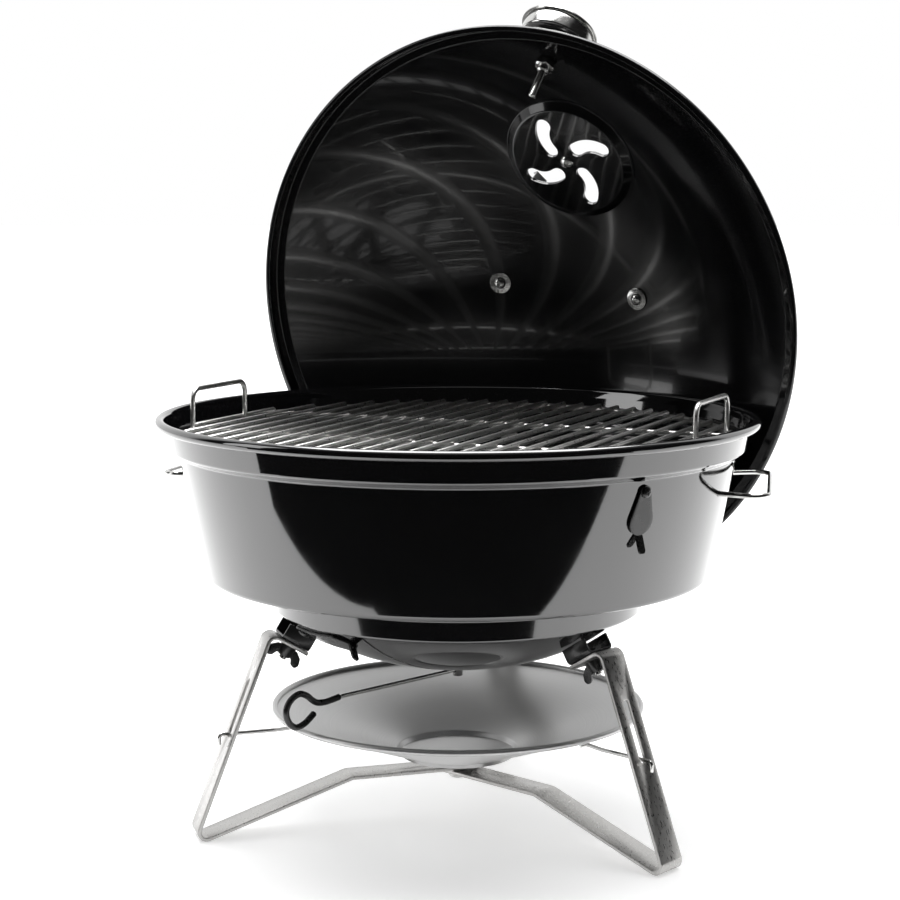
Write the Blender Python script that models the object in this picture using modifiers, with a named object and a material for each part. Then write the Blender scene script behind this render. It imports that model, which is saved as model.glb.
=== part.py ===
"""Portable kettle grill on three strap legs, with its lid hung behind the bowl.

Built round the bowl's vertical axis. Lengths below are in millimetres and
become metres through MM. (r, z) pairs are radius and height about that axis.
"""
import math

import bmesh
import bpy
from mathutils import Matrix, Vector

MM = 0.001

# Where the bowl's axis stands in the object's frame.
AXIS_X = -16.2
AXIS_Y = -25.2

# Bowl
SHEET = 1.6
BEAD_R, BEAD_Z, BEAD_TUBE = 231.2, 319.0, 3.8
DISH_CENTRE_Z, DISH_R = 364.5, 241.0
DISH_HOLE_R = 6.0
BOWL_SIDE = [
    (226.8, 314.0), (224.5, 303.0), (222.6, 298.6), (218.6, 294.8),
    (216.6, 291.8), (200.6, 214.0), (198.5, 204.0), (197.0, 200.0),
    (192.5, 198.2), (152.0, 190.8), (146.4, 187.0), (145.3, 177.0),
]
DISH_STATIONS = [143.0, 112.0, 78.0, 42.0, DISH_HOLE_R]
WALL_LOW, WALL_HIGH = (200.6, 214.0), (216.6, 291.8)
VENT_R, VENT_CIRCLE_R = 11.0, 40.0

# Stand
LEG_AZIMUTH = {"left": 197.28, "right": 317.28, "back": 77.28}
LEG_HUB_Z = {"right": 36.4, "left": 39.7, "back": 43.0}
STRAP_W, STRAP_T = 25.0, 3.0
HUB_END_R, KINK_R = -13.0, 90.0
FOOT_R, FOOT_BEND = 205.0, 6.0
FOOT_FLAT = 14.0
BRACKET_AT = (128.0, 160.3)
BRACKET_SLOPE = math.atan2(0.531, 0.847)
FLANGE_N = 14.6
SLOT_LENGTH, SLOT_W = 48.0, 7.0
SLOT_END_Z = 77.2

# Sweeper and its lever
LEVER_AZIMUTH = 221.0
LEVER_PATH = [
    (-8.0, 117.7), (118.0, 115.5),
]
GRIP_PATH = [
    (120.0, 115.4), (133.0, 113.7), (140.0, 114.5), (150.0, 121.5),
    (157.0, 123.8), (165.0, 120.0), (169.0, 112.4), (166.0, 103.5),
    (160.0, 98.6), (153.0, 100.5), (143.0, 107.0),
]

# Ash pan
PAN_RIM_R, PAN_RIM_Z, PAN_TUBE = 145.2, 90.5, 2.4
PAN_FLOOR_Z, PAN_RECESS_R = 49.6, 46.0

# Air ports
PORT_AZIMUTH, PORT_Z, PORT_DROP = -53.1, 286.5, 21.5
DAMPER_AZIMUTH, DAMPER_R = 208.5, 132.0
DAMPER_END_TURN, DAMPER_END_R = 20.0, 131.0

# Grates
GRATE_AZIMUTH, GRATE_R, GRATE_RING_Z = 66.0, 212.0, 306.6
GRATE_PITCH, GRATE_ROD_Z, GRATE_ROD_R = 17.5, 310.0, 2.0
GRATE_LOOPS = ((-1.0, 20.0), (1.0, -27.0))
LOOP_OUT, LOOP_HALF, LOOP_TOP = 199.4, 41.0, 339.5
TAB_PATH = [(210.2, 277.0), (213.0, 291.0), (213.3, 302.9), (204.5, 302.9)]
COAL_R, COAL_RING_Z, COAL_PITCH = 168.0, 201.4, 20.0
COAL_ROD_Z, COAL_ROD_R = 205.2, 2.5

# Lid
LID_CENTRE = (47.7, 111.6, 389.0)
LID_AZIMUTH, LID_RISE, LID_SPIN = 63.56, 11.45, 5.1
LID_RIM_R = 241.5
DOME_R, DOME_CENTRE = 310.0, -196.0
LID_SCREW_X, LID_SCREW_OFFSET = 65.3, (-3.5, -1.5)
VENT_AT = (-13.0, 122.15)
PLATEAU_R, PLATEAU_H = 49.5, 300.0
THERMO_AT, THERMO_OUT = (-13.5, 209.6), 18.0


# ------------------------------------------------------------------ scene
for old in list(bpy.data.objects):
    bpy.data.objects.remove(old, do_unlink=True)

PARTS = bpy.data.collections.new("portable_kettle_grill")
CUTTERS = bpy.data.collections.new("cutters")
bpy.context.scene.collection.children.link(PARTS)
bpy.context.scene.collection.children.link(CUTTERS)


def material(name, colour, metallic, roughness, alpha=1.0):
    """One Principled material."""
    made = bpy.data.materials.new(name)
    made.use_nodes = True
    shader = made.node_tree.nodes["Principled BSDF"]
    shader.inputs["Base Color"].default_value = (*colour, 1.0)
    shader.inputs["Metallic"].default_value = metallic
    shader.inputs["Roughness"].default_value = roughness
    shader.inputs["Alpha"].default_value = alpha
    made.diffuse_color = (*colour, alpha)
    return made


ENAMEL = material("black_enamel", (0.012, 0.012, 0.013), 0.0, 0.12)
STRAP_STEEL = material("strap_steel", (0.62, 0.62, 0.61), 1.0, 0.32)
BRIGHT = material("bright_plate", (0.78, 0.78, 0.77), 1.0, 0.16)
ALUMINIUM = material("pan_aluminium", (0.72, 0.73, 0.74), 1.0, 0.38)
BLACK_STEEL = material("black_coated_steel", (0.02, 0.02, 0.02), 0.2, 0.45)
VINYL = material("black_vinyl", (0.015, 0.015, 0.015), 0.0, 0.4)
NYLON = material("black_nylon", (0.02, 0.02, 0.02), 0.0, 0.5)
ROD_STEEL = material("rod_steel", (0.66, 0.66, 0.65), 1.0, 0.25)
DIAL = material("dial_white", (0.85, 0.85, 0.83), 0.0, 0.5)
GLASS = material("clear_glass", (0.9, 0.93, 0.93), 0.0, 0.03, 0.35)
NEEDLE = material("needle_red", (0.6, 0.05, 0.04), 0.0, 0.4)


# ---------------------------------------------------------------- placing
def spot(x, y, z):
    """Translation given in millimetres."""
    return Matrix.Translation((x * MM, y * MM, z * MM))


def turn(degrees, axis):
    """Rotation about one local axis."""
    return Matrix.Rotation(math.radians(degrees), 4, axis)


def axes(origin, x_axis, y_axis, z_axis):
    """Local frame from its origin in millimetres and three unit axes."""
    made = Matrix((x_axis, y_axis, z_axis)).transposed().to_4x4()
    made.translation = Vector(origin) * MM
    return made


def frame(name, parent=None, place=Matrix()):
    """Empty that carries the parts fixed in one local frame."""
    empty = bpy.data.objects.new(name, None)
    empty.empty_display_size = 0.02
    PARTS.objects.link(empty)
    empty.parent = parent
    empty.matrix_basis = place
    return empty


def link(obj, parent, place, finish):
    """Put a part, or with no finish a cutter, into its collection and frame."""
    if finish is None:
        CUTTERS.objects.link(obj)
        obj.hide_render = True
        obj.display_type = "WIRE"
    else:
        PARTS.objects.link(obj)
        obj.data.materials.append(finish)
    obj.parent = parent
    obj.matrix_basis = place
    return obj


# ----------------------------------------------------------------- shapes
def rounded(points, radius, steps=3):
    """Polyline with each inner corner replaced by an arc."""
    points = [Vector(point) for point in points]
    path = [points[0]]
    for before, corner, after in zip(points, points[1:], points[2:]):
        back = (before - corner).normalized()
        ahead = (after - corner).normalized()
        half = back.angle(ahead) / 2
        centre = corner + (back + ahead).normalized() * radius / math.sin(half)
        start = corner + back * radius / math.tan(half) - centre
        end = corner + ahead * radius / math.tan(half) - centre
        for step in range(steps + 1):
            arm = start.normalized().slerp(end.normalized(), step / steps)
            path.append(centre + arm * radius)
    path.append(points[-1])
    return path


def arc(centre, radius, start, end, steps):
    """Points on an arc in a plane, angles in degrees."""
    angles = [start + (end - start) * i / steps for i in range(steps + 1)]
    return [
        (
            centre[0] + radius * math.cos(math.radians(angle)),
            centre[1] + radius * math.sin(math.radians(angle)),
        )
        for angle in angles
    ]


def offset_path(points, distance):
    """Path moved sideways to its right by a distance, with mitred corners."""
    points = [Vector(point) for point in points]
    runs = [(b - a).normalized() for a, b in zip(points, points[1:])]
    moved = []
    for i, point in enumerate(points):
        before = runs[max(i - 1, 0)]
        after = runs[min(i, len(runs) - 1)]
        side_a = Vector((before.y, -before.x))
        side_b = Vector((after.y, -after.x))
        side = (side_a + side_b).normalized()
        moved.append(point + side * distance / side.dot(side_a))
    return moved


def turned(name, profile, finish, parent, place=Matrix(), steps=48, closed=False):
    """Solid of revolution about local Z from an (r, z) profile."""
    points = [(x * MM, 0.0, z * MM) for x, z in profile]
    edges = [(i, i + 1) for i in range(len(points) - 1)]
    if closed:
        edges.append((len(points) - 1, 0))
    mesh = bpy.data.meshes.new(name)
    mesh.from_pydata(points, edges, [])
    obj = bpy.data.objects.new(name, mesh)
    screw = obj.modifiers.new("turn", "SCREW")
    screw.axis = "Z"
    screw.steps = steps
    screw.render_steps = steps
    screw.use_merge_vertices = True
    screw.merge_threshold = 0.00001
    screw.use_smooth_shade = False
    return link(obj, parent, place, finish)


def shell_of(name, rows, thickness, finish, parent, place=Matrix()):
    """Sheet lofted over rows of points, thickened evenly about its middle."""
    width = len(rows[0])
    points = [Vector(point) * MM for row in rows for point in row]
    faces = []
    for i in range(len(rows) - 1):
        for j in range(width - 1):
            corner = i * width + j
            faces.append((corner, corner + 1, corner + width + 1, corner + width))
    mesh = bpy.data.meshes.new(name)
    mesh.from_pydata(points, [], faces)
    obj = bpy.data.objects.new(name, mesh)
    solid = obj.modifiers.new("sheet", "SOLIDIFY")
    solid.thickness = thickness * MM
    solid.offset = 0.0
    solid.use_even_offset = True
    return link(obj, parent, place, finish)


def strap(name, path, width, thickness, finish, parent, place=Matrix()):
    """Flat bar bent along an (x, z) path, its width along local Y."""
    rows = [((x, -width / 2, z), (x, width / 2, z)) for x, z in path]
    return shell_of(name, rows, thickness, finish, parent, place)


def wire(name, path, radius, finish, parent, place=Matrix()):
    """Round wire along a path."""
    curve = bpy.data.curves.new(name, "CURVE")
    curve.dimensions = "3D"
    curve.bevel_depth = radius * MM
    curve.bevel_resolution = 2
    curve.use_fill_caps = True
    spline = curve.splines.new("POLY")
    spline.points.add(len(path) - 1)
    for point, at in zip(spline.points, path):
        point.co = (*(Vector(at) * MM), 1.0)
    return link(bpy.data.objects.new(name, curve), parent, place, finish)


def wire_mesh(name, path, radius, parent, place=Matrix()):
    """Round wire as a closed mesh, ready to be joined to another part."""
    source = wire(name + "_path", path, radius, None, parent, place)
    bpy.context.view_layer.update()
    graph = bpy.context.evaluated_depsgraph_get()
    mesh = bpy.data.meshes.new_from_object(source.evaluated_get(graph))
    bpy.data.objects.remove(source, do_unlink=True)
    work = bmesh.new()
    work.from_mesh(mesh)
    bmesh.ops.remove_doubles(work, verts=work.verts, dist=0.000001)
    bmesh.ops.recalc_face_normals(work, faces=work.faces)
    work.to_mesh(mesh)
    work.free()
    mesh.materials.clear()
    return link(bpy.data.objects.new(name, mesh), parent, place, None)


def rods(name, spans, radius, finish, parent, place=Matrix(), sides=6):
    """Parallel rods along local X, one for each (y, z, half length)."""
    work = bmesh.new()
    for y, z, half in spans:
        lie = spot(0.0, y, z) @ turn(90.0, "Y")
        bmesh.ops.create_cone(
            work, cap_ends=True, segments=sides, radius1=radius * MM,
            radius2=radius * MM, depth=2 * half * MM, matrix=lie,
        )
    mesh = bpy.data.meshes.new(name)
    work.to_mesh(mesh)
    work.free()
    return link(bpy.data.objects.new(name, mesh), parent, place, finish)


def ring(name, radius, tube, finish, parent, place=Matrix(), steps=60, sides=6):
    """Closed ring of round wire."""
    profile = arc((radius, 0.0), tube, 90.0, -270.0 + 360.0 / sides, sides - 1)
    return turned(name, profile, finish, parent, place, steps, closed=True)


def rod_cutter(name, radius, depth, parent, place=Matrix(), sides=16):
    """Cylinder about local Z, used to cut a round hole."""
    work = bmesh.new()
    bmesh.ops.create_cone(
        work, cap_ends=True, segments=sides, radius1=radius * MM,
        radius2=radius * MM, depth=depth * MM,
    )
    mesh = bpy.data.meshes.new(name)
    work.to_mesh(mesh)
    work.free()
    return link(bpy.data.objects.new(name, mesh), parent, place, None)


def prism(name, outlines, depth, finish, parent, place=Matrix()):
    """Flat outlines in local XY given a depth, centred on the plane."""
    work = bmesh.new()
    for outline in outlines:
        corners = [
            work.verts.new((x * MM, y * MM, -depth / 2 * MM)) for x, y in outline
        ]
        face = work.faces.new(corners)
        grown = bmesh.ops.extrude_face_region(work, geom=[face])
        raised = [g for g in grown["geom"] if isinstance(g, bmesh.types.BMVert)]
        bmesh.ops.translate(work, verts=raised, vec=(0.0, 0.0, depth * MM))
    bmesh.ops.recalc_face_normals(work, faces=work.faces)
    mesh = bpy.data.meshes.new(name)
    work.to_mesh(mesh)
    work.free()
    return link(bpy.data.objects.new(name, mesh), parent, place, finish)


def boolean(target, tool, operation):
    """Add one exact Boolean step."""
    step = target.modifiers.new(tool.name, "BOOLEAN")
    step.operation = operation
    step.solver = "EXACT"
    step.object = tool


def cut(target, *tools):
    for tool in tools:
        boolean(target, tool, "DIFFERENCE")


def join(target, *tools):
    for tool in tools:
        boolean(target, tool, "UNION")


# ------------------------------------------------------------------- bowl
STAND = frame("stand_axis", None, spot(AXIS_X, AXIS_Y, 0.0))


def dish_z(r, radius=DISH_R):
    """Height of the round dish at the bottom of the bowl."""
    return DISH_CENTRE_Z - math.sqrt(radius * radius - r * r)


def wall_r(z):
    """Outer radius of the bowl's conical wall."""
    share = (z - WALL_LOW[1]) / (WALL_HIGH[1] - WALL_LOW[1])
    return WALL_LOW[0] + share * (WALL_HIGH[0] - WALL_LOW[0])


def polar(r, azimuth, z):
    """Point at a radius, azimuth and height."""
    angle = math.radians(azimuth)
    return Vector((r * math.cos(angle), r * math.sin(angle), z))


bead = arc((BEAD_R, BEAD_Z), BEAD_TUBE, 185.0, -125.0, 7)
outside = bead + BOWL_SIDE + [(r, dish_z(r)) for r in DISH_STATIONS]
inside = offset_path(outside[len(bead):], SHEET)
inside[-1] = Vector((DISH_HOLE_R, dish_z(DISH_HOLE_R, DISH_R - SHEET)))
bowl = turned(
    "bowl_shell", outside + list(reversed(inside)), ENAMEL, STAND, closed=True,
)

for index in range(3):
    azimuth = 50.0 + 120.0 * index
    hole = rod_cutter(
        f"bottom_vent_cut_{index + 1}", VENT_R, 20.0, STAND,
        turn(azimuth, "Z") @ spot(VENT_CIRCLE_R, 0.0, dish_z(VENT_CIRCLE_R)),
        sides=20,
    )
    cut(bowl, hole)


# ------------------------------------------------------------- strap legs
def tangent(point, centre, radius, side):
    """Angle where a line from the point touches a circle, in degrees."""
    reach = Vector(point) - Vector(centre)
    swing = math.acos(radius / reach.length)
    return math.degrees(math.atan2(reach.y, reach.x) + side * swing)


def bracket_point(t, n):
    """(r, z) of a point given along and away from the dish at a bracket."""
    cos, sin = math.cos(BRACKET_SLOPE), math.sin(BRACKET_SLOPE)
    return (
        BRACKET_AT[0] + cos * t + sin * n,
        BRACKET_AT[1] + sin * t - cos * n,
    )


FOOT_Z = FOOT_BEND * math.cos(math.radians(FOOT_FLAT)) + STRAP_T / 2
SHANK_R, SHANK_HOLE_R = 3.0, 3.3


def leg_path(hub_z):
    """Strap middle line: clamp flange, top corner, foot, kink and hub."""
    foot = (FOOT_R, FOOT_Z)
    corner = bracket_point(20.0, FLANGE_N)
    kink = (KINK_R, hub_z)
    high = tangent(corner, foot, FOOT_BEND, -1.0)
    low = tangent(kink, foot, FOOT_BEND, 1.0) % 360.0 - 360.0
    lower = (270.0 - FOOT_FLAT) - 360.0
    upper = (270.0 + FOOT_FLAT) - 360.0
    touch = arc(foot, FOOT_BEND, high, high, 1)[0]
    leave = arc(foot, FOOT_BEND, low, low, 1)[0]
    top = rounded([bracket_point(-13.0, FLANGE_N), corner, touch], 6.0)
    bend = arc(foot, FOOT_BEND, high, upper, 5)[1:]
    flat = arc(foot, FOOT_BEND, lower, lower, 1)[:1]
    hub = rounded([leave, kink, (HUB_END_R, hub_z)], 8.0)
    return [tuple(p) for p in top] + bend + flat + [tuple(p) for p in hub]


def shoulder_line(hub_z):
    """Top corner and foot tangent point, the two ends of the long run."""
    foot = (FOOT_R, FOOT_Z)
    corner = bracket_point(20.0, FLANGE_N)
    high = tangent(corner, foot, FOOT_BEND, -1.0)
    return Vector(corner), Vector(arc(foot, FOOT_BEND, high, high, 1)[0])


hub_axis = rod_cutter("hub_hole_cut", SHANK_HOLE_R, 30.0, STAND, spot(0, 0, 40))
LEG_FRAME, BRACKET_FRAME = {}, {}
for side, azimuth in LEG_AZIMUTH.items():
    radial = frame(f"leg_frame_{side}", STAND, turn(azimuth, "Z"))
    cos, sin = math.cos(BRACKET_SLOPE), math.sin(BRACKET_SLOPE)
    seat = frame(
        f"bracket_frame_{side}", radial,
        axes(
            (BRACKET_AT[0], 0.0, BRACKET_AT[1]),
            (cos, 0.0, sin), (0.0, -1.0, 0.0), (sin, 0.0, -cos),
        ),
    )
    LEG_FRAME[side], BRACKET_FRAME[side] = radial, seat

    leg = strap(
        f"leg_{side}", leg_path(LEG_HUB_Z[side]), STRAP_W, STRAP_T, STRAP_STEEL,
        radial,
    )
    corner, touch = shoulder_line(LEG_HUB_Z[side])
    run = (touch - corner).normalized()
    end = corner + run * (corner.y - SLOT_END_Z) / -run.y
    middle = end - run * SLOT_LENGTH / 2
    reach = SLOT_LENGTH / 2 - SLOT_W / 2
    stadium = arc((reach, 0.0), SLOT_W / 2, -90.0, 90.0, 6)
    stadium += arc((-reach, 0.0), SLOT_W / 2, 90.0, 270.0, 6)
    slot = prism(
        f"slot_cut_{side}", [stadium], 12.0, None, radial,
        axes(
            (middle.x, 0.0, middle.y),
            (run.x, 0.0, run.y), (0.0, 1.0, 0.0), (-run.y, 0.0, run.x),
        ),
    )
    clamp_hole = rod_cutter(
        f"clamp_hole_cut_{side}", SHANK_HOLE_R, 12.0, seat, spot(0, 0, 13.0)
    )
    cut(leg, slot, clamp_hole, hub_axis)

    channel = [(-12.9, 0.5), (-12.9, 11.8), (12.9, 11.8), (12.9, 0.5)]
    bracket = strap(
        f"leg_bracket_{side}", rounded(channel, 2.5), 24.0, 2.0, BLACK_STEEL,
        seat, turn(90.0, "Z"),
    )
    cut(bracket, clamp_hole)
    turned(
        f"leg_bolt_{side}",
        [
            (0.0, 28.0), (2.4, 28.0), (SHANK_R, 27.0), (SHANK_R, 10.5),
            (5.6, 10.5), (5.6, 8.2), (4.2, 7.2), (0.0, 7.2),
        ],
        BRIGHT, seat, steps=16,
    )
    nut = turned(
        f"wing_nut_{side}",
        [(5.0, 25.5), (6.6, 16.4), (SHANK_HOLE_R, 16.4), (SHANK_HOLE_R, 25.5)],
        BLACK_STEEL, seat, steps=20, closed=True,
    )
    wing = [
        (3.8, 18.0), (8.0, 18.4), (12.6, 21.6), (14.2, 26.0), (13.0, 29.6),
        (10.0, 29.4), (7.0, 25.8), (3.8, 24.4),
    ]
    other = [(-x, z) for x, z in reversed(wing)]
    wings = prism(
        f"wing_join_{side}", [wing, other], 2.4, None, seat, turn(90.0, "X")
    )
    join(nut, wings)

turned(
    "hub_bolt",
    [
        (0.0, 47.2), (3.2, 46.9), (6.4, 46.0), (8.0, 44.8), (SHANK_R, 44.8),
        (SHANK_R, 29.0), (0.0, 29.0),
    ],
    BRIGHT, STAND, steps=20,
)
turned(
    "hub_nut", [(7.4, 34.6), (7.4, 30.2), (3.8, 30.2), (3.8, 34.6)], BRIGHT,
    STAND, steps=6, closed=True,
)


# ---------------------------------------------------------- wire handles
HANDLE_Z, HANDLE_WIRE = 272.5, 2.0
HANDLES = {
    "right": (-9.6, 242.0, 71.0, 55.0),
    "left": (163.0, 230.0, 60.0, 46.0),
}
for side, (azimuth, reach, half, root) in HANDLES.items():
    radial = frame(f"handle_frame_{side}", STAND, turn(azimuth, "Z"))
    start = math.sqrt((wall_r(HANDLE_Z) - 4.0) ** 2 - root * root)
    bend = [
        (start, -root, HANDLE_Z), (reach, -half, HANDLE_Z),
        (reach, half, HANDLE_Z), (start, root, HANDLE_Z),
    ]
    wire(
        f"side_handle_{side}", rounded(bend, 12.0, 4), HANDLE_WIRE, BRIGHT, radial
    )
    for sign in (-1.0, 1.0):
        slope = (half - root) / (reach - start)
        lean = math.degrees(math.atan(sign * slope))
        eye = rod_cutter(
            f"handle_eye_cut_{side}_{'front' if sign < 0 else 'rear'}",
            HANDLE_WIRE + 0.4, 14.0, radial,
            spot(start + 3.0, sign * (root + 3.0 * slope), HANDLE_Z)
            @ turn(lean, "Z") @ turn(90.0, "Y"),
            sides=12,
        )
        cut(bowl, eye)


# ------------------------------------------------------------- air ports
port_angle = math.atan2(WALL_HIGH[0] - WALL_LOW[0], WALL_HIGH[1] - WALL_LOW[1])
port_radial = frame("port_radial", STAND, turn(PORT_AZIMUTH, "Z"))
port_frame = frame(
    "port_frame", port_radial,
    axes(
        (wall_r(PORT_Z), 0.0, PORT_Z),
        (0.0, 1.0, 0.0),
        (math.sin(port_angle), 0.0, math.cos(port_angle)),
        (math.cos(port_angle), 0.0, -math.sin(port_angle)),
    ),
)


def pear_half_width(t, small, large, span):
    """Half width of the hull of two circles, at a distance from the first."""
    lean = math.asin((large - small) / span)
    first, last = -small * math.sin(lean), span - large * math.sin(lean)
    if t < first:
        return math.sqrt(max(small * small - t * t, 0.0))
    if t > last:
        return math.sqrt(max(large * large - (t - span) ** 2, 0.0))
    return small / math.cos(lean) + t * math.tan(lean)


def pear_rows(small, large, span, tab, height, stations=5):
    """Rows across a pear plate from its small end to where its tab starts."""
    end = span + math.sqrt(large * large - tab * tab)
    steps = [-small * math.cos(math.radians(a)) for a in (20.0, 50.0, 80.0)]
    steps += [span * i / stations for i in range(1, stations + 1)]
    steps += [span + large * s for s in (0.45, 0.75)] + [end]
    rows = []
    for t in steps:
        half = max(pear_half_width(t, small, large, span), tab)
        rows.append([(t, s * half, height(t, s * half)) for s in (-1, 0, 1)])
    return rows


PORT_PLATE = 1.15
cover_rows = pear_rows(4.8, 10.5, PORT_DROP, 3.0, lambda t, w: PORT_PLATE)
edge = cover_rows[-1][0][0]
bend = math.radians(29.0)
for reach in (2.0, 12.5):
    cover_rows.append([
        (
            edge + 1.0 + reach * math.cos(bend), w,
            PORT_PLATE + reach * math.sin(bend),
        )
        for w in (-3.0, 0.0, 3.0)
    ])
port_cover = shell_of(
    "port_cover", cover_rows, 1.5, BLACK_STEEL, port_frame, turn(-90.0, "Z")
)
port_pin = rod_cutter("port_pin_cut", 2.3, 16.0, port_frame)
port_hole = rod_cutter(
    "port_hole_cut", 9.0, 16.0, port_frame, spot(0.0, -PORT_DROP, 0.0), sides=20
)
cut(port_cover, port_pin)
cut(bowl, port_pin, port_hole)
turned(
    "port_screw",
    [
        (0.0, 4.6), (2.2, 4.4), (4.0, 3.4), (4.0, 2.3), (2.0, 2.3),
        (2.0, -5.0), (0.0, -5.0),
    ],
    BRIGHT, port_frame, steps=16,
)

damper_radial = frame("damper_radial", STAND, turn(DAMPER_AZIMUTH, "Z"))
tilt = math.asin(DAMPER_R / DISH_R)
damper_frame = frame(
    "damper_frame", damper_radial,
    axes(
        (DAMPER_R, 0.0, dish_z(DAMPER_R)),
        (0.0, 1.0, 0.0),
        (math.cos(tilt), 0.0, math.sin(tilt)),
        (math.sin(tilt), 0.0, -math.cos(tilt)),
    ),
)
far = polar(DAMPER_END_R, DAMPER_END_TURN, dish_z(DAMPER_END_R) - DISH_CENTRE_Z)
far_x = far.y
far_y = far.x * math.cos(tilt) + far.z * math.sin(tilt)
DAMPER_SPAN = math.hypot(far_x, far_y)
DAMPER_AIM = math.degrees(math.atan2(far_y, far_x))
DAMPER_SHEET_R = DISH_R + 0.4 + 0.75


def dish_lift(x, y):
    """Height of the damper's middle surface over its pivot point."""
    return math.sqrt(DAMPER_SHEET_R ** 2 - x * x - y * y) - DISH_R


damper_rows = pear_rows(7.5, 12.5, DAMPER_SPAN, 3.5, dish_lift)
edge = damper_rows[-1][1][0]
fall = math.asin(edge / DAMPER_SHEET_R)
bend = math.radians(48.0) - fall
for reach in (2.0, 15.0):
    damper_rows.append([
        (
            edge + 1.0 + reach * math.cos(bend), w,
            dish_lift(edge, 0.0) - 0.3 + reach * math.sin(bend),
        )
        for w in (-3.5, 0.0, 3.5)
    ])
ash_damper = shell_of(
    "ash_damper", damper_rows, 1.5, BLACK_STEEL, damper_frame,
    turn(DAMPER_AIM, "Z"),
)
damper_pin = rod_cutter("damper_pin_cut", 2.5, 16.0, damper_frame)
ash_port = rod_cutter(
    "ash_port_cut", 10.0, 24.0, damper_frame,
    turn(DAMPER_AIM, "Z") @ spot(DAMPER_SPAN, 0.0, -4.0)
    @ turn(math.degrees(math.asin(DAMPER_SPAN / DISH_R)), "Y"),
    sides=20,
)
cut(ash_damper, damper_pin)
cut(bowl, damper_pin, ash_port)
turned(
    "damper_screw",
    [
        (0.0, 4.6), (2.4, 4.4), (4.6, 3.4), (4.6, 2.4), (2.2, 2.4),
        (2.2, -5.0), (0.0, -5.0),
    ],
    BRIGHT, damper_frame, steps=16,
)


# ----------------------------------------------------- sweeper and lever
lever_frame = frame("lever_frame", STAND, turn(LEVER_AZIMUTH, "Z"))
shaft = turned(
    "sweeper_shaft",
    [
        (0.0, 134.0), (3.0, 134.0), (4.0, 133.0), (4.0, 113.4), (3.4, 112.6),
        (0.0, 112.6),
    ],
    BRIGHT, lever_frame, steps=20,
)
lever_slope = math.degrees(math.atan2(
    LEVER_PATH[1][1] - LEVER_PATH[0][1], LEVER_PATH[1][0] - LEVER_PATH[0][0]
))
cross_hole = rod_cutter(
    "lever_hole_cut", 2.0, 20.0, lever_frame,
    spot(0.0, 0.0, 117.56) @ turn(90.0 - lever_slope, "Y"), sides=12,
)
cut(shaft, cross_hole)
wire(
    "lever_rod", [(x, 0.0, z) for x, z in LEVER_PATH], 1.7, BRIGHT, lever_frame
)
wire(
    "lever_grip", [(x, 0.0, z) for x, z in GRIP_PATH], 2.5, VINYL, lever_frame
)
turned(
    "shaft_nut", [(7.6, 123.0), (7.6, 120.0), (4.9, 120.0), (4.9, 123.0)],
    BRIGHT, lever_frame, steps=6, closed=True,
)
BLADE_LIFT = 2.3
blade_path = [
    (r, dish_z(r, DISH_R - SHEET) + BLADE_LIFT) for r in (9.0, 25.0, 45.0, 62.0)
]
blades = turned(
    "sweeper_blades",
    [(14.0, 129.4), (14.0, 127.2), (4.3, 127.2), (4.3, 129.4)],
    BLACK_STEEL, lever_frame, steps=24, closed=True,
)
for index in range(3):
    arm = strap(
        f"blade_join_{index + 1}", blade_path, 14.0, 1.5, None, lever_frame,
        turn(120.0 * index + 20.0, "Z"),
    )
    join(blades, arm)


# ---------------------------------------------------------------- ash pan
pan_bead = arc((PAN_RIM_R, PAN_RIM_Z), PAN_TUBE, 205.0, -105.0, 6)
pan_side = [(142.6, 88.2), (48.6, 53.4), (PAN_RECESS_R, PAN_FLOOR_Z)]
pan_inside = offset_path(pan_side + [(0.0, PAN_FLOOR_Z)], 1.2)
pan = turned(
    "ash_pan",
    [(0.0, PAN_FLOOR_Z + 1.2)] + list(reversed(pan_inside[:-1])) + pan_bead
    + pan_side + [(0.0, PAN_FLOOR_Z)],
    ALUMINIUM, STAND,
)
for side in LEG_AZIMUTH:
    wire(
        f"pan_hanger_{side}",
        rounded(
            [
                (131.0, -7.0, 81.4), (131.0, 0.5, 81.4), (146.0, 0.0, 80.2),
                (192.5, 0.0, 79.9), (192.5, 0.0, 72.0),
            ],
            2.4, 2,
        ),
        1.5, BRIGHT, LEG_FRAME[side],
    )


# ----------------------------------------------------------------- grates
def rod_spans(ring_r, pitch, z, phase):
    """Rods across a ring at an even pitch."""
    count = int(ring_r / pitch) + 1
    spans = []
    for i in range(-count, count + 1):
        y = (i + phase) * pitch
        if abs(y) < ring_r - 4.0:
            spans.append((y, z, math.sqrt(ring_r * ring_r - y * y)))
    return spans


grate_frame = frame("grate_frame", STAND, turn(GRATE_AZIMUTH, "Z"))
grate = ring(
    "cooking_grate", GRATE_R, 2.6, ROD_STEEL, grate_frame,
    spot(0.0, 0.0, GRATE_RING_Z),
)
grate_rods = rods(
    "grate_rods_join",
    rod_spans(GRATE_R, GRATE_PITCH, GRATE_ROD_Z, 0.5),
    GRATE_ROD_R, None, grate_frame,
)
grate_bars = rods(
    "grate_bars_join", [(y, 306.4, math.sqrt(GRATE_R ** 2 - y * y)) for y in
                        (-70.0, 70.0)],
    2.2, None, grate_frame, turn(90.0, "Z"),
)
join(grate, grate_rods, grate_bars)
for sign, middle in GRATE_LOOPS:
    reach = sign * LOOP_OUT
    loop = rounded(
        [
            (middle - LOOP_HALF, reach, 308.5), (middle - LOOP_HALF, reach, LOOP_TOP),
            (middle + LOOP_HALF, reach, LOOP_TOP), (middle + LOOP_HALF, reach, 308.5),
        ],
        9.0, 3,
    )
    side = "near" if sign < 0 else "far"
    join(grate, wire_mesh(f"grate_loop_join_{side}", loop, 2.0, grate_frame))

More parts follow.
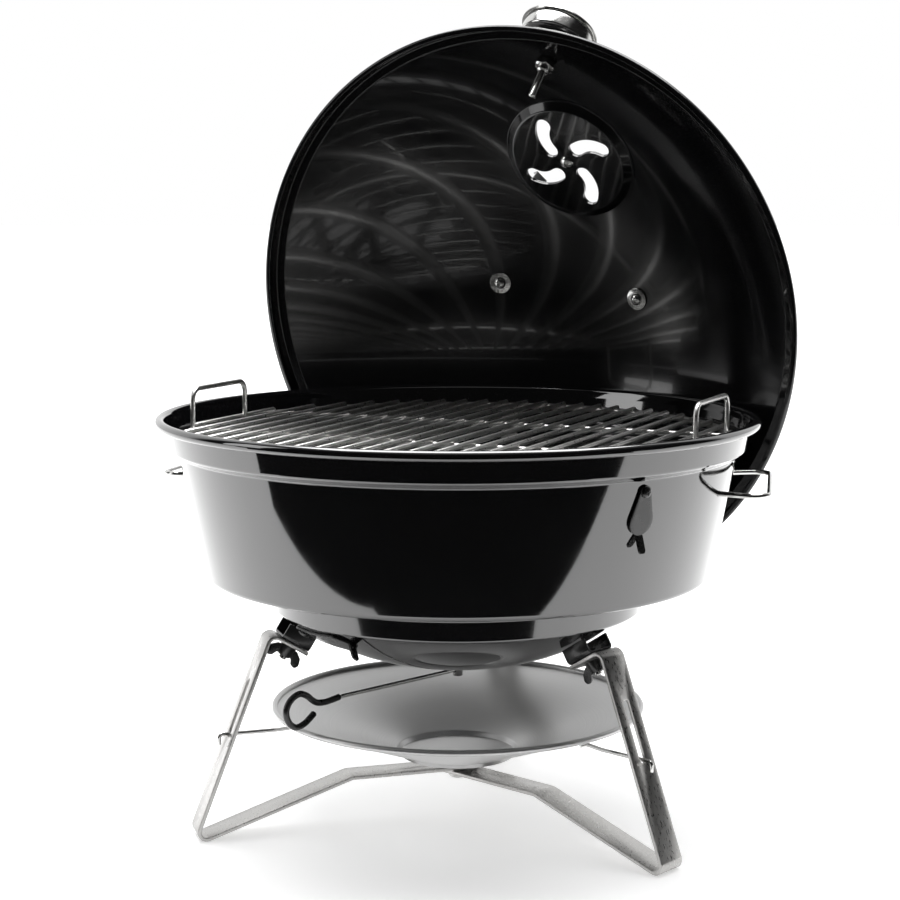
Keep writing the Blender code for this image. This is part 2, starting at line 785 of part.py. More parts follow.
coal = ring(
    "charcoal_grate", COAL_R, 2.5, ROD_STEEL, grate_frame,
    spot(0.0, 0.0, COAL_RING_Z), steps=48,
)
coal_rods = rods(
    "coal_rods_join", rod_spans(COAL_R, COAL_PITCH, COAL_ROD_Z, 0.5), COAL_ROD_R,
    None, grate_frame, turn(90.0, "Z"),
)
coal_bars = rods(
    "coal_bars_join", [(y, 201.6, math.sqrt(COAL_R ** 2 - y * y)) for y in
                       (-60.0, 60.0)],
    2.3, None, grate_frame,
)
join(coal, coal_rods, coal_bars)

for side, radial in LEG_FRAME.items():
    strap(
        f"grate_tab_{side}", rounded(TAB_PATH, 2.5), 14.0, 1.5, STRAP_STEEL, radial
    )


# -------------------------------------------------------------------- lid
azimuth, rise = math.radians(LID_AZIMUTH), math.radians(LID_RISE)
spin = math.radians(LID_SPIN)
crown = Vector((
    math.cos(rise) * math.cos(azimuth), math.cos(rise) * math.sin(azimuth),
    math.sin(rise),
))
level = Vector((-math.sin(azimuth), math.cos(azimuth), 0.0))
upward = crown.cross(level)
lid_x = level * math.cos(spin) + upward * math.sin(spin)
lid_y = upward * math.cos(spin) - level * math.sin(spin)
LID = frame("lid_frame", STAND, axes(LID_CENTRE, lid_x, lid_y, crown))


def dome_z(r, radius=DOME_R):
    """Height of the lid's dome over its rim plane."""
    return DOME_CENTRE + math.sqrt(radius * radius - r * r)


DOME_STATIONS = [35.0, 65.0, 100.0, 135.0, 165.0, 192.0, 213.0]
dome_out = [(0.0, dome_z(0.0, DOME_R + SHEET))]
dome_out += [(r, dome_z(r, DOME_R + SHEET)) for r in DOME_STATIONS]
dome_in = [(r, dome_z(r)) for r in reversed(DOME_STATIONS)]
dome_in += [(0.0, dome_z(0.0))]
lid_edge = [
    (230.0, 14.0), (237.2, 13.4), (238.3, 12.0), (238.3, 5.0),
    (LID_RIM_R, 3.6), (LID_RIM_R, 1.0), (239.4, -0.4), (236.7, 0.4),
    (236.7, 11.4), (229.0, 12.6),
]
lid = turned("lid_shell", dome_out + lid_edge + dome_in, ENAMEL, LID)


def dome_frame(name, x, y):
    """Frame at the dome's centre of curvature, its Z through (x, y)."""
    aim = Vector((x, y, math.sqrt(DOME_R ** 2 - x * x - y * y))).normalized()
    side_axis = Vector((0.0, 1.0, 0.0)).cross(aim).normalized()
    return frame(
        name, LID,
        axes((0.0, 0.0, DOME_CENTRE), side_axis, aim.cross(side_axis), aim),
    )


vent_frame = dome_frame("vent_frame", *VENT_AT)
thermo_frame = dome_frame("thermo_frame", *THERMO_AT)

plateau = turned(
    "plateau_join",
    [
        (0.0, PLATEAU_H + SHEET), (48.9, PLATEAU_H + SHEET), (56.2, 305.9),
        (59.6, 306.6), (59.6, 303.7), (57.0, 304.2), (PLATEAU_R, PLATEAU_H),
        (0.0, PLATEAU_H),
    ],
    None, vent_frame,
)
vent_opening = rod_cutter(
    "plateau_cut", 58.0, 30.0, vent_frame, spot(0.0, 0.0, 305.0), sides=48
)
cut(lid, vent_opening)
join(lid, plateau)


def bean(turn_by, inner=17.0, outer=38.0, sweep=27.0, width=13.0, bulge=3.5):
    """Outline of one curved vent opening."""
    def on(r, degrees):
        angle = math.radians(degrees)
        return Vector((-r * math.cos(angle), r * math.sin(angle)))

    start, end = on(inner, turn_by), on(outer, turn_by - sweep)
    along = (end - start).normalized()
    side_way = Vector((-along.y, along.x))
    if side_way.dot(on(1.0, turn_by + 60.0)) < 0.0:
        side_way = -side_way
    middle = (start + end) / 2 + side_way * bulge
    spine = [start, (start + middle) / 2 + side_way * bulge * 0.25, middle,
             (middle + end) / 2 + side_way * bulge * 0.25, end]
    left = offset_path(spine, -width / 2)
    right = offset_path(spine, width / 2)
    outline = [tuple(p) for p in left]
    heads = ((end, left[-1], right[-1]), (start, right[0], left[0]))
    for step in range(2):
        centre, first, last = heads[step]
        arm = first - centre
        if step == 1:
            outline += [tuple(p) for p in reversed(right)]
        for part in (1, 2, 3):
            swing = Matrix.Rotation(-math.pi * part / 4, 2)
            outline.append(tuple(centre + swing @ arm))
    return outline


beans = prism(
    "bean_cut", [bean(52.0 + 90.0 * i) for i in range(4)], 30.0, None,
    vent_frame, spot(0.0, 0.0, 302.0),
)
rivet_hole = rod_cutter(
    "rivet_hole_cut", 2.8, 30.0, vent_frame, spot(0.0, 0.0, 302.0)
)
cut(lid, beans, rivet_hole)

vent_damper = turned(
    "lid_damper",
    [(0.0, 303.2), (47.0, 303.2), (47.0, 302.0), (0.0, 302.0)],
    BLACK_STEEL, vent_frame,
)
finger = strap(
    "finger_join",
    rounded([(36.0, 302.7), (43.0, 302.7), (43.0, 314.0), (52.0, 318.0)], 2.0),
    12.0, 1.2, None, vent_frame, turn(-38.0, "Z"),
)
join(vent_damper, finger)
cut(vent_damper, beans, rivet_hole)
turned(
    "vent_rivet",
    [
        (0.0, 305.8), (3.4, 305.4), (6.0, 303.6), (2.5, 303.6), (2.5, 299.6),
        (6.0, 299.6), (4.6, 298.0), (0.0, 297.4),
    ],
    BRIGHT, vent_frame, steps=20,
)

for index, sign in enumerate((-1.0, 1.0)):
    seat = dome_frame(
        f"lid_screw_frame_{index + 1}",
        LID_SCREW_OFFSET[0] + sign * LID_SCREW_X, LID_SCREW_OFFSET[1],
    )
    hole = rod_cutter(
        f"lid_screw_cut_{index + 1}", 2.9, 30.0, seat, spot(0.0, 0.0, 318.0)
    )
    cut(lid, hole)
    turned(
        f"lid_washer_{index + 1}",
        [(9.6, 309.3), (9.6, 308.3), (2.9, 308.3), (2.9, 309.3)],
        BRIGHT, seat, steps=24, closed=True,
    )
    turned(
        f"lid_screw_{index + 1}",
        [
            (0.0, 330.0), (2.5, 330.0), (2.5, 308.0), (5.2, 308.0),
            (5.2, 306.2), (3.4, 304.8), (0.0, 304.4),
        ],
        BRIGHT, seat, steps=16,
    )
    post = turned(
        f"handle_post_join_{index + 1}",
        [(0.0, 350.0), (6.5, 350.0), (8.0, 312.1), (0.0, 312.1)],
        None, seat, steps=20,
    )
    if index == 0:
        grip = turned(
            "lid_handle",
            [
                (0.0, 80.0), (8.0, 80.0), (11.0, 76.0), (12.0, 40.0),
                (12.0, -40.0), (11.0, -76.0), (8.0, -80.0), (0.0, -80.0),
            ],
            NYLON, LID,
            spot(LID_SCREW_OFFSET[0], LID_SCREW_OFFSET[1], 151.0)
            @ turn(90.0, "Y"),
            steps=24,
        )
    join(grip, post)
    cut(grip, hole)

thermo_hole = rod_cutter(
    "thermo_hole_cut", 5.4, 30.0, thermo_frame, spot(0.0, 0.0, 310.0)
)
cut(lid, thermo_hole)
out = THERMO_OUT
turned(
    "thermometer_case",
    [
        (0.0, 310.6 + out), (28.5, 310.6 + out), (28.5, 322.0 + out),
        (30.0, 322.0 + out), (30.0, 309.5 + out), (27.5, 307.6 + out),
        (9.0, 305.6 + out), (9.0, 312.0), (5.0, 312.0), (5.0, 300.5), (3.0, 299.5),
        (3.0, 275.0), (2.0, 273.6), (0.0, 273.6),
    ],
    BRIGHT, thermo_frame, steps=24,
)
turned(
    "thermometer_nut",
    [(8.6, 309.2), (8.6, 303.4), (6.1, 303.4), (6.1, 309.2)],
    BRIGHT, thermo_frame, steps=6, closed=True,
)
turned(
    "thermometer_dial",
    [(0.0, 312.6 + out), (28.1, 312.6 + out), (28.1, 311.4 + out), (0.0, 311.4 + out)],
    DIAL, thermo_frame, steps=24,
)
turned(
    "thermometer_glass",
    [(0.0, 321.2 + out), (28.1, 321.2 + out), (28.1, 319.2 + out), (0.0, 319.2 + out)],
    GLASS, thermo_frame, steps=24,
)
turned(
    "thermometer_bezel",
    [
        (26.4, 324.6 + out), (31.0, 324.6 + out), (32.2, 323.4 + out),
        (32.2, 322.3 + out), (26.4, 322.3 + out),
    ],
    BRIGHT, thermo_frame, steps=24, closed=True,
)
needle_place = spot(0.0, 0.0, 314.4 + out)
pointer = prism(
    "thermometer_needle",
    [[(-7.0, -1.2), (18.0, -0.7), (21.0, 0.0), (18.0, 0.7), (-7.0, 1.2)]],
    0.8, NEEDLE, thermo_frame, needle_place,
)
spindle = rod_cutter(
    "spindle_join", 2.2, 2.4, thermo_frame, needle_place, sides=12
)
join(pointer, spindle)
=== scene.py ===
"""Looks of the portable kettle grill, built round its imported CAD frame.

Lengths are in millimetres and become metres through MM. (r, z) pairs are
radius and height about the bowl's axis, which stands at AXIS_X, AXIS_Y.
"""

import math

import bmesh
import bpy
import numpy as np
from mathutils import Matrix, Vector


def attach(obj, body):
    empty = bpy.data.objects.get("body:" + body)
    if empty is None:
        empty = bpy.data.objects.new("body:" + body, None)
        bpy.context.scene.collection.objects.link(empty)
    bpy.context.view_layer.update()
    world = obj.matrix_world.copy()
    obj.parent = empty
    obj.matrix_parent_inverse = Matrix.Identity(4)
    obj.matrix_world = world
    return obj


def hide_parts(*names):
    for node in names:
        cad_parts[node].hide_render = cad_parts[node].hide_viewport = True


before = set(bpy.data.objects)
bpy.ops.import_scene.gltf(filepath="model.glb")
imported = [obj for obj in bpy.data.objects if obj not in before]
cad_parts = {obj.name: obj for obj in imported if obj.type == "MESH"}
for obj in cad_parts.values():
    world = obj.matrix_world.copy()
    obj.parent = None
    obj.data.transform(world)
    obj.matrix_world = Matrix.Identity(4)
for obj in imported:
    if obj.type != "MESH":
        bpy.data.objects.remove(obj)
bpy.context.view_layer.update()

MM = 0.001
AXIS_X, AXIS_Y = -16.2, -25.2

SHEET = 1.6
BEAD_R, BEAD_Z, BEAD_TUBE = 231.2, 319.0, 3.8
DISH_CENTRE_Z, DISH_R, DISH_HOLE_R = 364.5, 241.0, 6.0
WALL_LOW, WALL_HIGH = (200.6, 214.0), (216.6, 291.8)
VENT_R, VENT_CIRCLE_R = 11.0, 40.0

LEG_AZIMUTH = {"left": 197.28, "right": 317.28, "back": 77.28}
LEG_HUB_Z = {"right": 36.4, "left": 39.7, "back": 43.0}
STRAP_W, STRAP_T = 25.0, 3.0
HUB_END_R, KINK_R = -13.0, 90.0
FOOT_R, FOOT_BEND, FOOT_FLAT = 205.0, 6.0, 14.0
BRACKET_AT, BRACKET_SLOPE = (128.0, 160.3), math.atan2(0.531, 0.847)
FLANGE_N = 14.6
SLOT_LENGTH, SLOT_W, SLOT_END_Z = 48.0, 7.0, 77.2

LEVER_AZIMUTH = 221.0
PAN_RIM_R, PAN_RIM_Z, PAN_TUBE = 145.2, 90.5, 2.4
PAN_FLOOR_Z, PAN_RECESS_R = 49.6, 46.0

PORT_AZIMUTH, PORT_Z, PORT_DROP = -53.1, 286.5, 21.5
DAMPER_AZIMUTH, DAMPER_R = 208.5, 132.0
DAMPER_END_TURN, DAMPER_END_R = 20.0, 131.0

GRATE_AZIMUTH, GRATE_R, GRATE_RING_Z = 66.0, 212.0, 306.6
GRATE_PITCH, GRATE_ROD_Z, GRATE_ROD_R = 17.5, 310.0, 2.0
GRATE_LOOPS = ((-1.0, 20.0), (1.0, -27.0))
LOOP_OUT, LOOP_HALF, LOOP_TOP = 199.4, 41.0, 339.5
TAB_PATH = [(210.2, 277.0), (213.0, 291.0), (213.3, 302.9), (204.5, 302.9)]
COAL_R, COAL_RING_Z, COAL_PITCH = 168.0, 201.4, 20.0
COAL_ROD_Z, COAL_ROD_R = 205.2, 2.5

LID_CENTRE = (47.7, 111.6, 389.0)
LID_AZIMUTH, LID_RISE, LID_SPIN = 63.56, 11.45, 5.1
LID_RIM_R, DOME_R, DOME_CENTRE = 241.5, 310.0, -196.0
LID_SCREW_X, LID_SCREW_OFFSET = 65.3, (-3.5, -1.5)
VENT_AT = (-13.0, 122.15)
THERMO_AT, THERMO_OUT = (-13.5, 209.6), 18.0
PLATEAU_H = 300.0
GRIP_HEIGHT = 151.0
DIAL_MARKS, DIAL_START, DIAL_SWEEP = 25, -60.0, 300.0

FLOOR_GLOW, FLOOR_FADE = (0.42, 1.0), (0.3, 2.0)
TENT_BACK, TENT_TOP, TENT_DARK = (0.25, 0.55), (0.55, 0.85), 0.012
LIGHTS = {
    "overhead": ((0.0, 0.3, 2.4), (0.0, 0.3, 0.0), 2.4, 1.8, 95.0),
    "left_fill": ((-1.7, -0.3, 0.9), (0.0, 0.0, 0.3), 0.6, 1.2, 5.0),
}
CAMERA_AT, CAMERA_DROP, CAMERA_LENS = (-6.2, -1528.3, 491.4), 7.38, 78.6


# -------------------------------------------------------------- materials
class Nodes:
    """Small helper for building one material's node tree."""

    def __init__(self, name):
        self.material = bpy.data.materials.new(name)
        self.material.use_nodes = True
        self.tree = self.material.node_tree
        self.shader = self.tree.nodes["Principled BSDF"]
        self.place = self.node("ShaderNodeTexCoord").outputs["Object"]

    def node(self, kind, **settings):
        made = self.tree.nodes.new(kind)
        for key, value in settings.items():
            setattr(made, key, value)
        return made

    def link(self, source, target):
        self.tree.links.new(source, target)

    def noise(self, scale, detail=3.0, stretch=None, place=None):
        """Noise value, its scale in cycles per metre."""
        made = self.node("ShaderNodeTexNoise")
        made.inputs["Scale"].default_value = scale
        made.inputs["Detail"].default_value = detail
        source = place or self.place
        if stretch:
            mapping = self.node("ShaderNodeMapping")
            mapping.inputs["Scale"].default_value = stretch
            self.link(source, mapping.inputs["Vector"])
            source = mapping.outputs["Vector"]
        self.link(source, made.inputs["Vector"])
        return made.outputs["Fac"]

    def between(self, value, low, high, start=0.3, end=0.7):
        """Value mapped to a range."""
        made = self.node("ShaderNodeMapRange")
        made.inputs["From Min"].default_value = start
        made.inputs["From Max"].default_value = end
        made.inputs["To Min"].default_value = low
        made.inputs["To Max"].default_value = high
        self.link(value, made.inputs["Value"])
        return made.outputs["Result"]

    def blend(self, value, first, second):
        """Colour between two colours."""
        made = self.node("ShaderNodeMix", data_type="RGBA")
        made.inputs["A"].default_value = (*first, 1.0)
        made.inputs["B"].default_value = (*second, 1.0)
        self.link(value, made.inputs["Factor"])
        return made.outputs["Result"]

    def bump(self, value, strength, depth):
        """Small relief, its depth in metres."""
        made = self.node("ShaderNodeBump")
        made.inputs["Strength"].default_value = strength
        made.inputs["Distance"].default_value = depth
        self.link(value, made.inputs["Height"])
        self.link(made.outputs["Normal"], self.shader.inputs["Normal"])

    def rings(self, axis_x, axis_y):
        """Coordinate that only changes with distance from a vertical axis."""
        split = self.node("ShaderNodeSeparateXYZ")
        self.link(self.place, split.inputs["Vector"])
        parts = []
        for output, centre in (("X", axis_x), ("Y", axis_y)):
            moved = self.node("ShaderNodeMath", operation="SUBTRACT")
            moved.inputs[1].default_value = centre
            self.link(split.outputs[output], moved.inputs[0])
            square = self.node("ShaderNodeMath", operation="MULTIPLY")
            self.link(moved.outputs[0], square.inputs[0])
            self.link(moved.outputs[0], square.inputs[1])
            parts.append(square.outputs[0])
        total = self.node("ShaderNodeMath", operation="ADD")
        self.link(parts[0], total.inputs[0])
        self.link(parts[1], total.inputs[1])
        root = self.node("ShaderNodeMath", operation="SQRT")
        self.link(total.outputs[0], root.inputs[0])
        joined = self.node("ShaderNodeCombineXYZ")
        self.link(root.outputs[0], joined.inputs["X"])
        return joined.outputs["Vector"]

    def set(self, **values):
        for key, value in values.items():
            self.shader.inputs[key.replace("_", " ")].default_value = value
        return self


def enamel(name, rough, coat, level):
    """Fired black porcelain enamel: deep gloss over a faint orange peel."""
    m = Nodes(name)
    m.set(Metallic=0.0, Coat_Weight=coat, Coat_Roughness=0.03, Coat_IOR=1.9)
    m.set(IOR=1.52, Specular_IOR_Level=level)
    m.link(
        m.blend(m.noise(40.0, 4.0), (0.0035, 0.0035, 0.004), (0.007, 0.007, 0.0075)),
        m.shader.inputs["Base Color"],
    )
    m.link(m.between(m.noise(18.0, 5.0), *rough), m.shader.inputs["Roughness"])
    m.bump(m.noise(210.0, 2.0), 0.05, 0.00012)
    return m.material


def metal(name, colour, dark, rough, grain, stretch, relief=0.08):
    """Worked bare metal with a directional grain."""
    m = Nodes(name)
    m.set(Metallic=1.0)
    fine = m.noise(grain, 5.0, stretch)
    m.link(m.blend(m.noise(22.0, 4.0), dark, colour), m.shader.inputs["Base Color"])
    m.link(m.between(fine, rough[0], rough[1]), m.shader.inputs["Roughness"])
    m.bump(fine, relief, 0.00008)
    return m.material


def spun(name, colour, dark, rough):
    """Spun aluminium: fine concentric tool lines about the bowl's axis."""
    m = Nodes(name)
    m.set(Metallic=1.0)
    around = m.rings(AXIS_X * MM, AXIS_Y * MM)
    lines = m.noise(900.0, 4.0, None, around)
    m.link(m.blend(m.noise(14.0, 5.0), dark, colour), m.shader.inputs["Base Color"])
    m.link(m.between(lines, rough[0], rough[1]), m.shader.inputs["Roughness"])
    m.bump(lines, 0.25, 0.00006)
    return m.material


def coated(name, colour, worn, rough, grain, relief, coat=0.0):
    """Painted, dipped or moulded black surface with a fine texture."""
    m = Nodes(name)
    m.set(Metallic=0.0, Coat_Weight=coat, Coat_Roughness=0.15)
    m.link(m.blend(m.noise(60.0, 5.0), colour, worn), m.shader.inputs["Base Color"])
    m.link(m.between(m.noise(90.0, 4.0), *rough), m.shader.inputs["Roughness"])
    m.bump(m.noise(grain, 3.0), relief, 0.0001)
    return m.material


def clear(name):
    """Thin clear glass with faint smears."""
    m = Nodes(name)
    m.set(Metallic=0.0, IOR=1.5, Transmission_Weight=1.0)
    m.shader.inputs["Base Color"].default_value = (0.97, 0.99, 0.98, 1.0)
    m.link(m.between(m.noise(70.0, 4.0), 0.0, 0.04), m.shader.inputs["Roughness"])
    return m.material


ENAMEL = enamel("black_enamel", (0.04, 0.09), 0.6, 0.8)
LID_ENAMEL = enamel("black_enamel_lid", (0.08, 0.14), 0.2, 0.45)
STRAP_STEEL = metal(
    "strap_steel", (0.60, 0.59, 0.575), (0.50, 0.495, 0.485), (0.24, 0.40), 620.0,
    (1.0, 1.0, 0.12),
)
BRIGHT = metal(
    "bright_plate", (0.74, 0.735, 0.72), (0.60, 0.60, 0.59), (0.08, 0.2), 300.0,
    (1.0, 1.0, 1.0), 0.03,
)
ROD_STEEL = metal(
    "rod_steel", (0.70, 0.695, 0.68), (0.52, 0.52, 0.51), (0.12, 0.28), 420.0,
    (1.0, 1.0, 1.0), 0.05,
)
# Same steel as rod_steel, but rougher and with a lighter colour. The lighter colour is
# painted light, so that the cooking grate's rods read as brightly lit.
LIT_GRATE_STEEL = metal(
    "lit_grate_steel", (0.86, 0.855, 0.84), (0.70, 0.695, 0.68), (0.26, 0.40), 420.0,
    (1.0, 1.0, 1.0), 0.05,
)
ALUMINIUM = spun("pan_aluminium", (0.66, 0.66, 0.655), (0.56, 0.56, 0.56), (0.3, 0.46))
BLACK_STEEL = coated(
    "black_coated_steel", (0.010, 0.010, 0.010), (0.020, 0.020, 0.020),
    (0.22, 0.36), 700.0, 0.06, 0.3,
)
VINYL = coated(
    "black_vinyl", (0.008, 0.008, 0.008), (0.014, 0.014, 0.014), (0.22, 0.34),
    260.0, 0.08, 0.4,
)
NYLON = coated(
    "black_nylon", (0.014, 0.014, 0.014), (0.022, 0.022, 0.022), (0.42, 0.56),
    1400.0, 0.2,
)
DIAL_WHITE = coated(
    "dial_white", (0.78, 0.78, 0.76), (0.84, 0.84, 0.82), (0.45, 0.55), 900.0, 0.02
)
DIAL_INK = coated(
    "dial_ink", (0.02, 0.02, 0.02), (0.03, 0.03, 0.03), (0.5, 0.6), 900.0, 0.02
)
NEEDLE_RED = coated(
    "needle_red", (0.50, 0.03, 0.02), (0.60, 0.05, 0.03), (0.3, 0.4), 900.0, 0.02
)
CLEAR = clear("clear_glass")


# ---------------------------------------------------------------- placing
def spot(x, y, z):
    return Matrix.Translation((x * MM, y * MM, z * MM))


def turn(degrees, axis):
    return Matrix.Rotation(math.radians(degrees), 4, axis)


def axes(origin, x_axis, y_axis, z_axis):
    made = Matrix((x_axis, y_axis, z_axis)).transposed().to_4x4()
    made.translation = Vector(origin) * MM
    return made


def polar(r, azimuth, z):
    angle = math.radians(azimuth)
    return Vector((r * math.cos(angle), r * math.sin(angle), z))


STAND = spot(AXIS_X, AXIS_Y, 0.0)


# ----------------------------------------------------------------- shapes
def rounded(points, radius, steps=8):
    """Polyline with inner corners replaced by arcs of one or several radii."""
    points = [Vector(point) for point in points]
    count = len(points) - 2
    radii = [radius] * count if isinstance(radius, (int, float)) else radius
    path = [points[0]]
    for before, corner, after, bend in zip(points, points[1:], points[2:], radii):
        if bend <= 0.0:
            path.append(corner)
            continue
        back = (before - corner).normalized()
        ahead = (after - corner).normalized()
        half = back.angle(ahead) / 2
        centre = corner + (back + ahead).normalized() * bend / math.sin(half)
        start = corner + back * bend / math.tan(half) - centre
        end = corner + ahead * bend / math.tan(half) - centre
        for step in range(steps + 1):
            arm = start.normalized().slerp(end.normalized(), step / steps)
            path.append(centre + arm * bend)
    path.append(points[-1])
    return path


def arc(centre, radius, start, end, steps):
    angles = [start + (end - start) * i / steps for i in range(steps + 1)]
    return [
        Vector((
            centre[0] + radius * math.cos(math.radians(angle)),
            centre[1] + radius * math.sin(math.radians(angle)),
        ))
        for angle in angles
    ]


def offset_path(points, distance):
    points = [Vector(point) for point in points]
    runs = [(b - a).normalized() for a, b in zip(points, points[1:])]
    moved = []
    for i, point in enumerate(points):
        before = runs[max(i - 1, 0)]
        after = runs[min(i, len(runs) - 1)]
        side_a = Vector((before.y, -before.x))
        side_b = Vector((after.y, -after.x))
        side = (side_a + side_b).normalized()
        moved.append(point + side * distance / side.dot(side_a))
    return moved


def add(mesh, place):
    obj = bpy.data.objects.new(mesh.name, mesh)
    bpy.context.scene.collection.objects.link(obj)
    obj.matrix_world = place
    return obj


def turned(profile, place, steps=64, closed=False):
    """Solid of revolution about local Z from an (r, z) profile."""
    points = [(p[0] * MM, 0.0, p[1] * MM) for p in profile]
    edges = [(i, i + 1) for i in range(len(points) - 1)]
    if closed:
        edges.append((len(points) - 1, 0))
    mesh = bpy.data.meshes.new("turned")
    mesh.from_pydata(points, edges, [])
    obj = add(mesh, place)
    screw = obj.modifiers.new("turn", "SCREW")
    screw.axis = "Z"
    screw.steps = steps
    screw.render_steps = steps
    screw.use_merge_vertices = True
    screw.merge_threshold = 0.00001
    return obj


def soften(obj, width, segments=2, angle=40.0):
    """Round the sharp edges a little, so that they catch the light."""
    edge = obj.modifiers.new("edge", "BEVEL")
    edge.width = width * MM
    edge.segments = segments
    edge.limit_method = "ANGLE"
    edge.angle_limit = math.radians(angle)
    return obj


def shell_of(rows, thickness, place):
    width = len(rows[0])
    points = [Vector(point) * MM for row in rows for point in row]
    faces = []
    for i in range(len(rows) - 1):
        for j in range(width - 1):
            corner = i * width + j
            faces.append((corner, corner + 1, corner + width + 1, corner + width))
    mesh = bpy.data.meshes.new("sheet")
    mesh.from_pydata(points, [], faces)
    obj = add(mesh, place)
    solid = obj.modifiers.new("sheet", "SOLIDIFY")
    solid.thickness = thickness * MM
    solid.offset = 0.0
    solid.use_even_offset = True
    return obj


def strap(path, width, thickness, place):
    rows = [((p[0], -width / 2, p[1]), (p[0], width / 2, p[1])) for p in path]
    return shell_of(rows, thickness, place)


def wire(path, radius, place, resolution=6):
    """Round wire with softly domed ends."""
    path = [Vector(p) for p in path]
    ends = []
    for tip, inner in ((path[0], path[1]), (path[-1], path[-2])):
        ends.append((inner - tip).normalized() * radius * 0.35)
    stations = [(path[0], 0.72), (path[0] + ends[0], 1.0)]
    stations += [(p, 1.0) for p in path[1:-1]]
    stations += [(path[-1] + ends[1], 1.0), (path[-1], 0.72)]
    curve = bpy.data.curves.new("wire", "CURVE")
    curve.dimensions = "3D"
    curve.bevel_depth = radius * MM
    curve.bevel_resolution = resolution
    curve.use_fill_caps = True
    spline = curve.splines.new("POLY")
    spline.points.add(len(stations) - 1)
    for point, (at, swell) in zip(spline.points, stations):
        point.co = (*(at * MM), 1.0)
        point.radius = swell
    obj = bpy.data.objects.new("wire", curve)
    bpy.context.scene.collection.objects.link(obj)
    obj.matrix_world = place
    return obj


def smooth_path(points, steps=6):
    """Catmull-Rom curve through points."""
    points = [Vector(p) for p in points]
    ends = [points[0] * 2 - points[1], *points, points[-1] * 2 - points[-2]]
    path = []
    for a, b, c, d in zip(ends, ends[1:], ends[2:], ends[3:]):
        for step in range(steps):
            t = step / steps
            path.append(
                0.5 * (
                    2 * b + (c - a) * t + (2 * a - 5 * b + 4 * c - d) * t * t
                    + (3 * b - a - 3 * c + d) * t ** 3
                )
            )
    path.append(points[-1])
    return path


def rods(spans, radius, place, sides=16):
    """Parallel rods along local X, one for each (y, z, half length)."""
    made = []
    for y, z, half in spans:
        path = [(-half, y, z), (0.0, y, z), (half, y, z)]
        made.append(wire(path, radius, place, sides // 2 - 2))
    return made


def cutter(radius, depth, place, sides=48):
    work = bmesh.new()
    bmesh.ops.create_cone(
        work, cap_ends=True, segments=sides, radius1=radius * MM,
        radius2=radius * MM, depth=depth * MM,
    )
    mesh = bpy.data.meshes.new("cutter")
    work.to_mesh(mesh)
    work.free()
    return add(mesh, place)


def prism(outlines, depth, place):
    work = bmesh.new()
    for outline in outlines:
        corners = [
            work.verts.new((p[0] * MM, p[1] * MM, -depth / 2 * MM)) for p in outline
        ]
        face = work.faces.new(corners)
        grown = bmesh.ops.extrude_face_region(work, geom=[face])
        raised = [g for g in grown["geom"] if isinstance(g, bmesh.types.BMVert)]
        bmesh.ops.translate(work, verts=raised, vec=(0.0, 0.0, depth * MM))
    bmesh.ops.recalc_face_normals(work, faces=work.faces)
    mesh = bpy.data.meshes.new("prism")
    work.to_mesh(mesh)
    work.free()
    return add(mesh, place)


TOOLS = []


def boolean(target, tool, operation):
    step = target.modifiers.new("step", "BOOLEAN")
    step.operation = operation
    step.solver = "EXACT"
    step.object = tool
    if tool not in TOOLS:
        TOOLS.append(tool)


def cut(target, *tools):
    for tool in tools:
        boolean(target, tool, "DIFFERENCE")


def join(target, *tools):
    for tool in tools:
        boolean(target, tool, "UNION")


def exact_normals(mesh, rules):
    """Give faces that lie on a known round surface that surface's normals."""
    loops = np.zeros((len(mesh.loops), 3))
    points = np.array([v.co for v in mesh.vertices])
    for face in mesh.polygons:
        centre, normal = np.array(face.center), np.array(face.normal)
        for rule in rules:
            ideal = rule(centre[None])[0]
            side = float(ideal @ normal)
            if abs(side) > 0.9985:
                around = rule(points[list(face.vertices)])
                loops[list(face.loop_indices)] = around * np.sign(side)
                break
    mesh.normals_split_custom_set([tuple(n) for n in loops])


def sphere_rule(centre):
    middle = np.array(centre)

    def normals(points):
        out = points - middle
        return out / np.linalg.norm(out, axis=1)[:, None]

    return normals


def cone_rule(axis_point, slope):
    """Cone about a vertical axis whose radius grows by slope per height."""
    middle = np.array(axis_point)

    def normals(points):
        out = points - middle
        out[:, 2] = 0.0
        out /= np.maximum(np.linalg.norm(out, axis=1)[:, None], 1e-9)
        out[:, 2] = -slope
        return out / np.linalg.norm(out, axis=1)[:, None]

    return normals


def settle(parts, name, body, nodes, finish, sharp=38.0, rules=None):
    """Bake parts into one finished mesh that stands for its CAD nodes."""
    parts = parts if isinstance(parts, list) else [parts]
    bpy.context.view_layer.update()
    graph = bpy.context.evaluated_depsgraph_get()
    work = bmesh.new()
    for part in parts:
        mesh = bpy.data.meshes.new_from_object(part.evaluated_get(graph))
        mesh.transform(part.matrix_world)
        work.from_mesh(mesh)
        bpy.data.meshes.remove(mesh)
    bmesh.ops.remove_doubles(work, verts=work.verts, dist=0.000002)
    bmesh.ops.recalc_face_normals(work, faces=work.faces)
    mesh = bpy.data.meshes.new(name)
    work.to_mesh(mesh)
    work.free()
    for part in parts:
        bpy.data.objects.remove(part, do_unlink=True)
    mesh.materials.clear()
    mesh.materials.append(finish)
    mesh.polygons.foreach_set("use_smooth", [True] * len(mesh.polygons))
    mesh.set_sharp_from_angle(angle=math.radians(sharp))
    if rules:
        exact_normals(mesh, rules)
    piece = bpy.data.objects.new(name, mesh)
    bpy.context.scene.collection.objects.link(piece)
    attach(piece, body)
    nodes = [nodes] if isinstance(nodes, str) else nodes
    if nodes:
        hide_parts(*nodes)
    return piece


def clear_tools():
    """Drop the cutters once every piece that used them is baked."""
    for tool in TOOLS:
        bpy.data.objects.remove(tool, do_unlink=True)
    TOOLS.clear()


# ------------------------------------------------------------------- bowl
def dish_z(r, radius=DISH_R):
    return DISH_CENTRE_Z - math.sqrt(radius * radius - r * r)


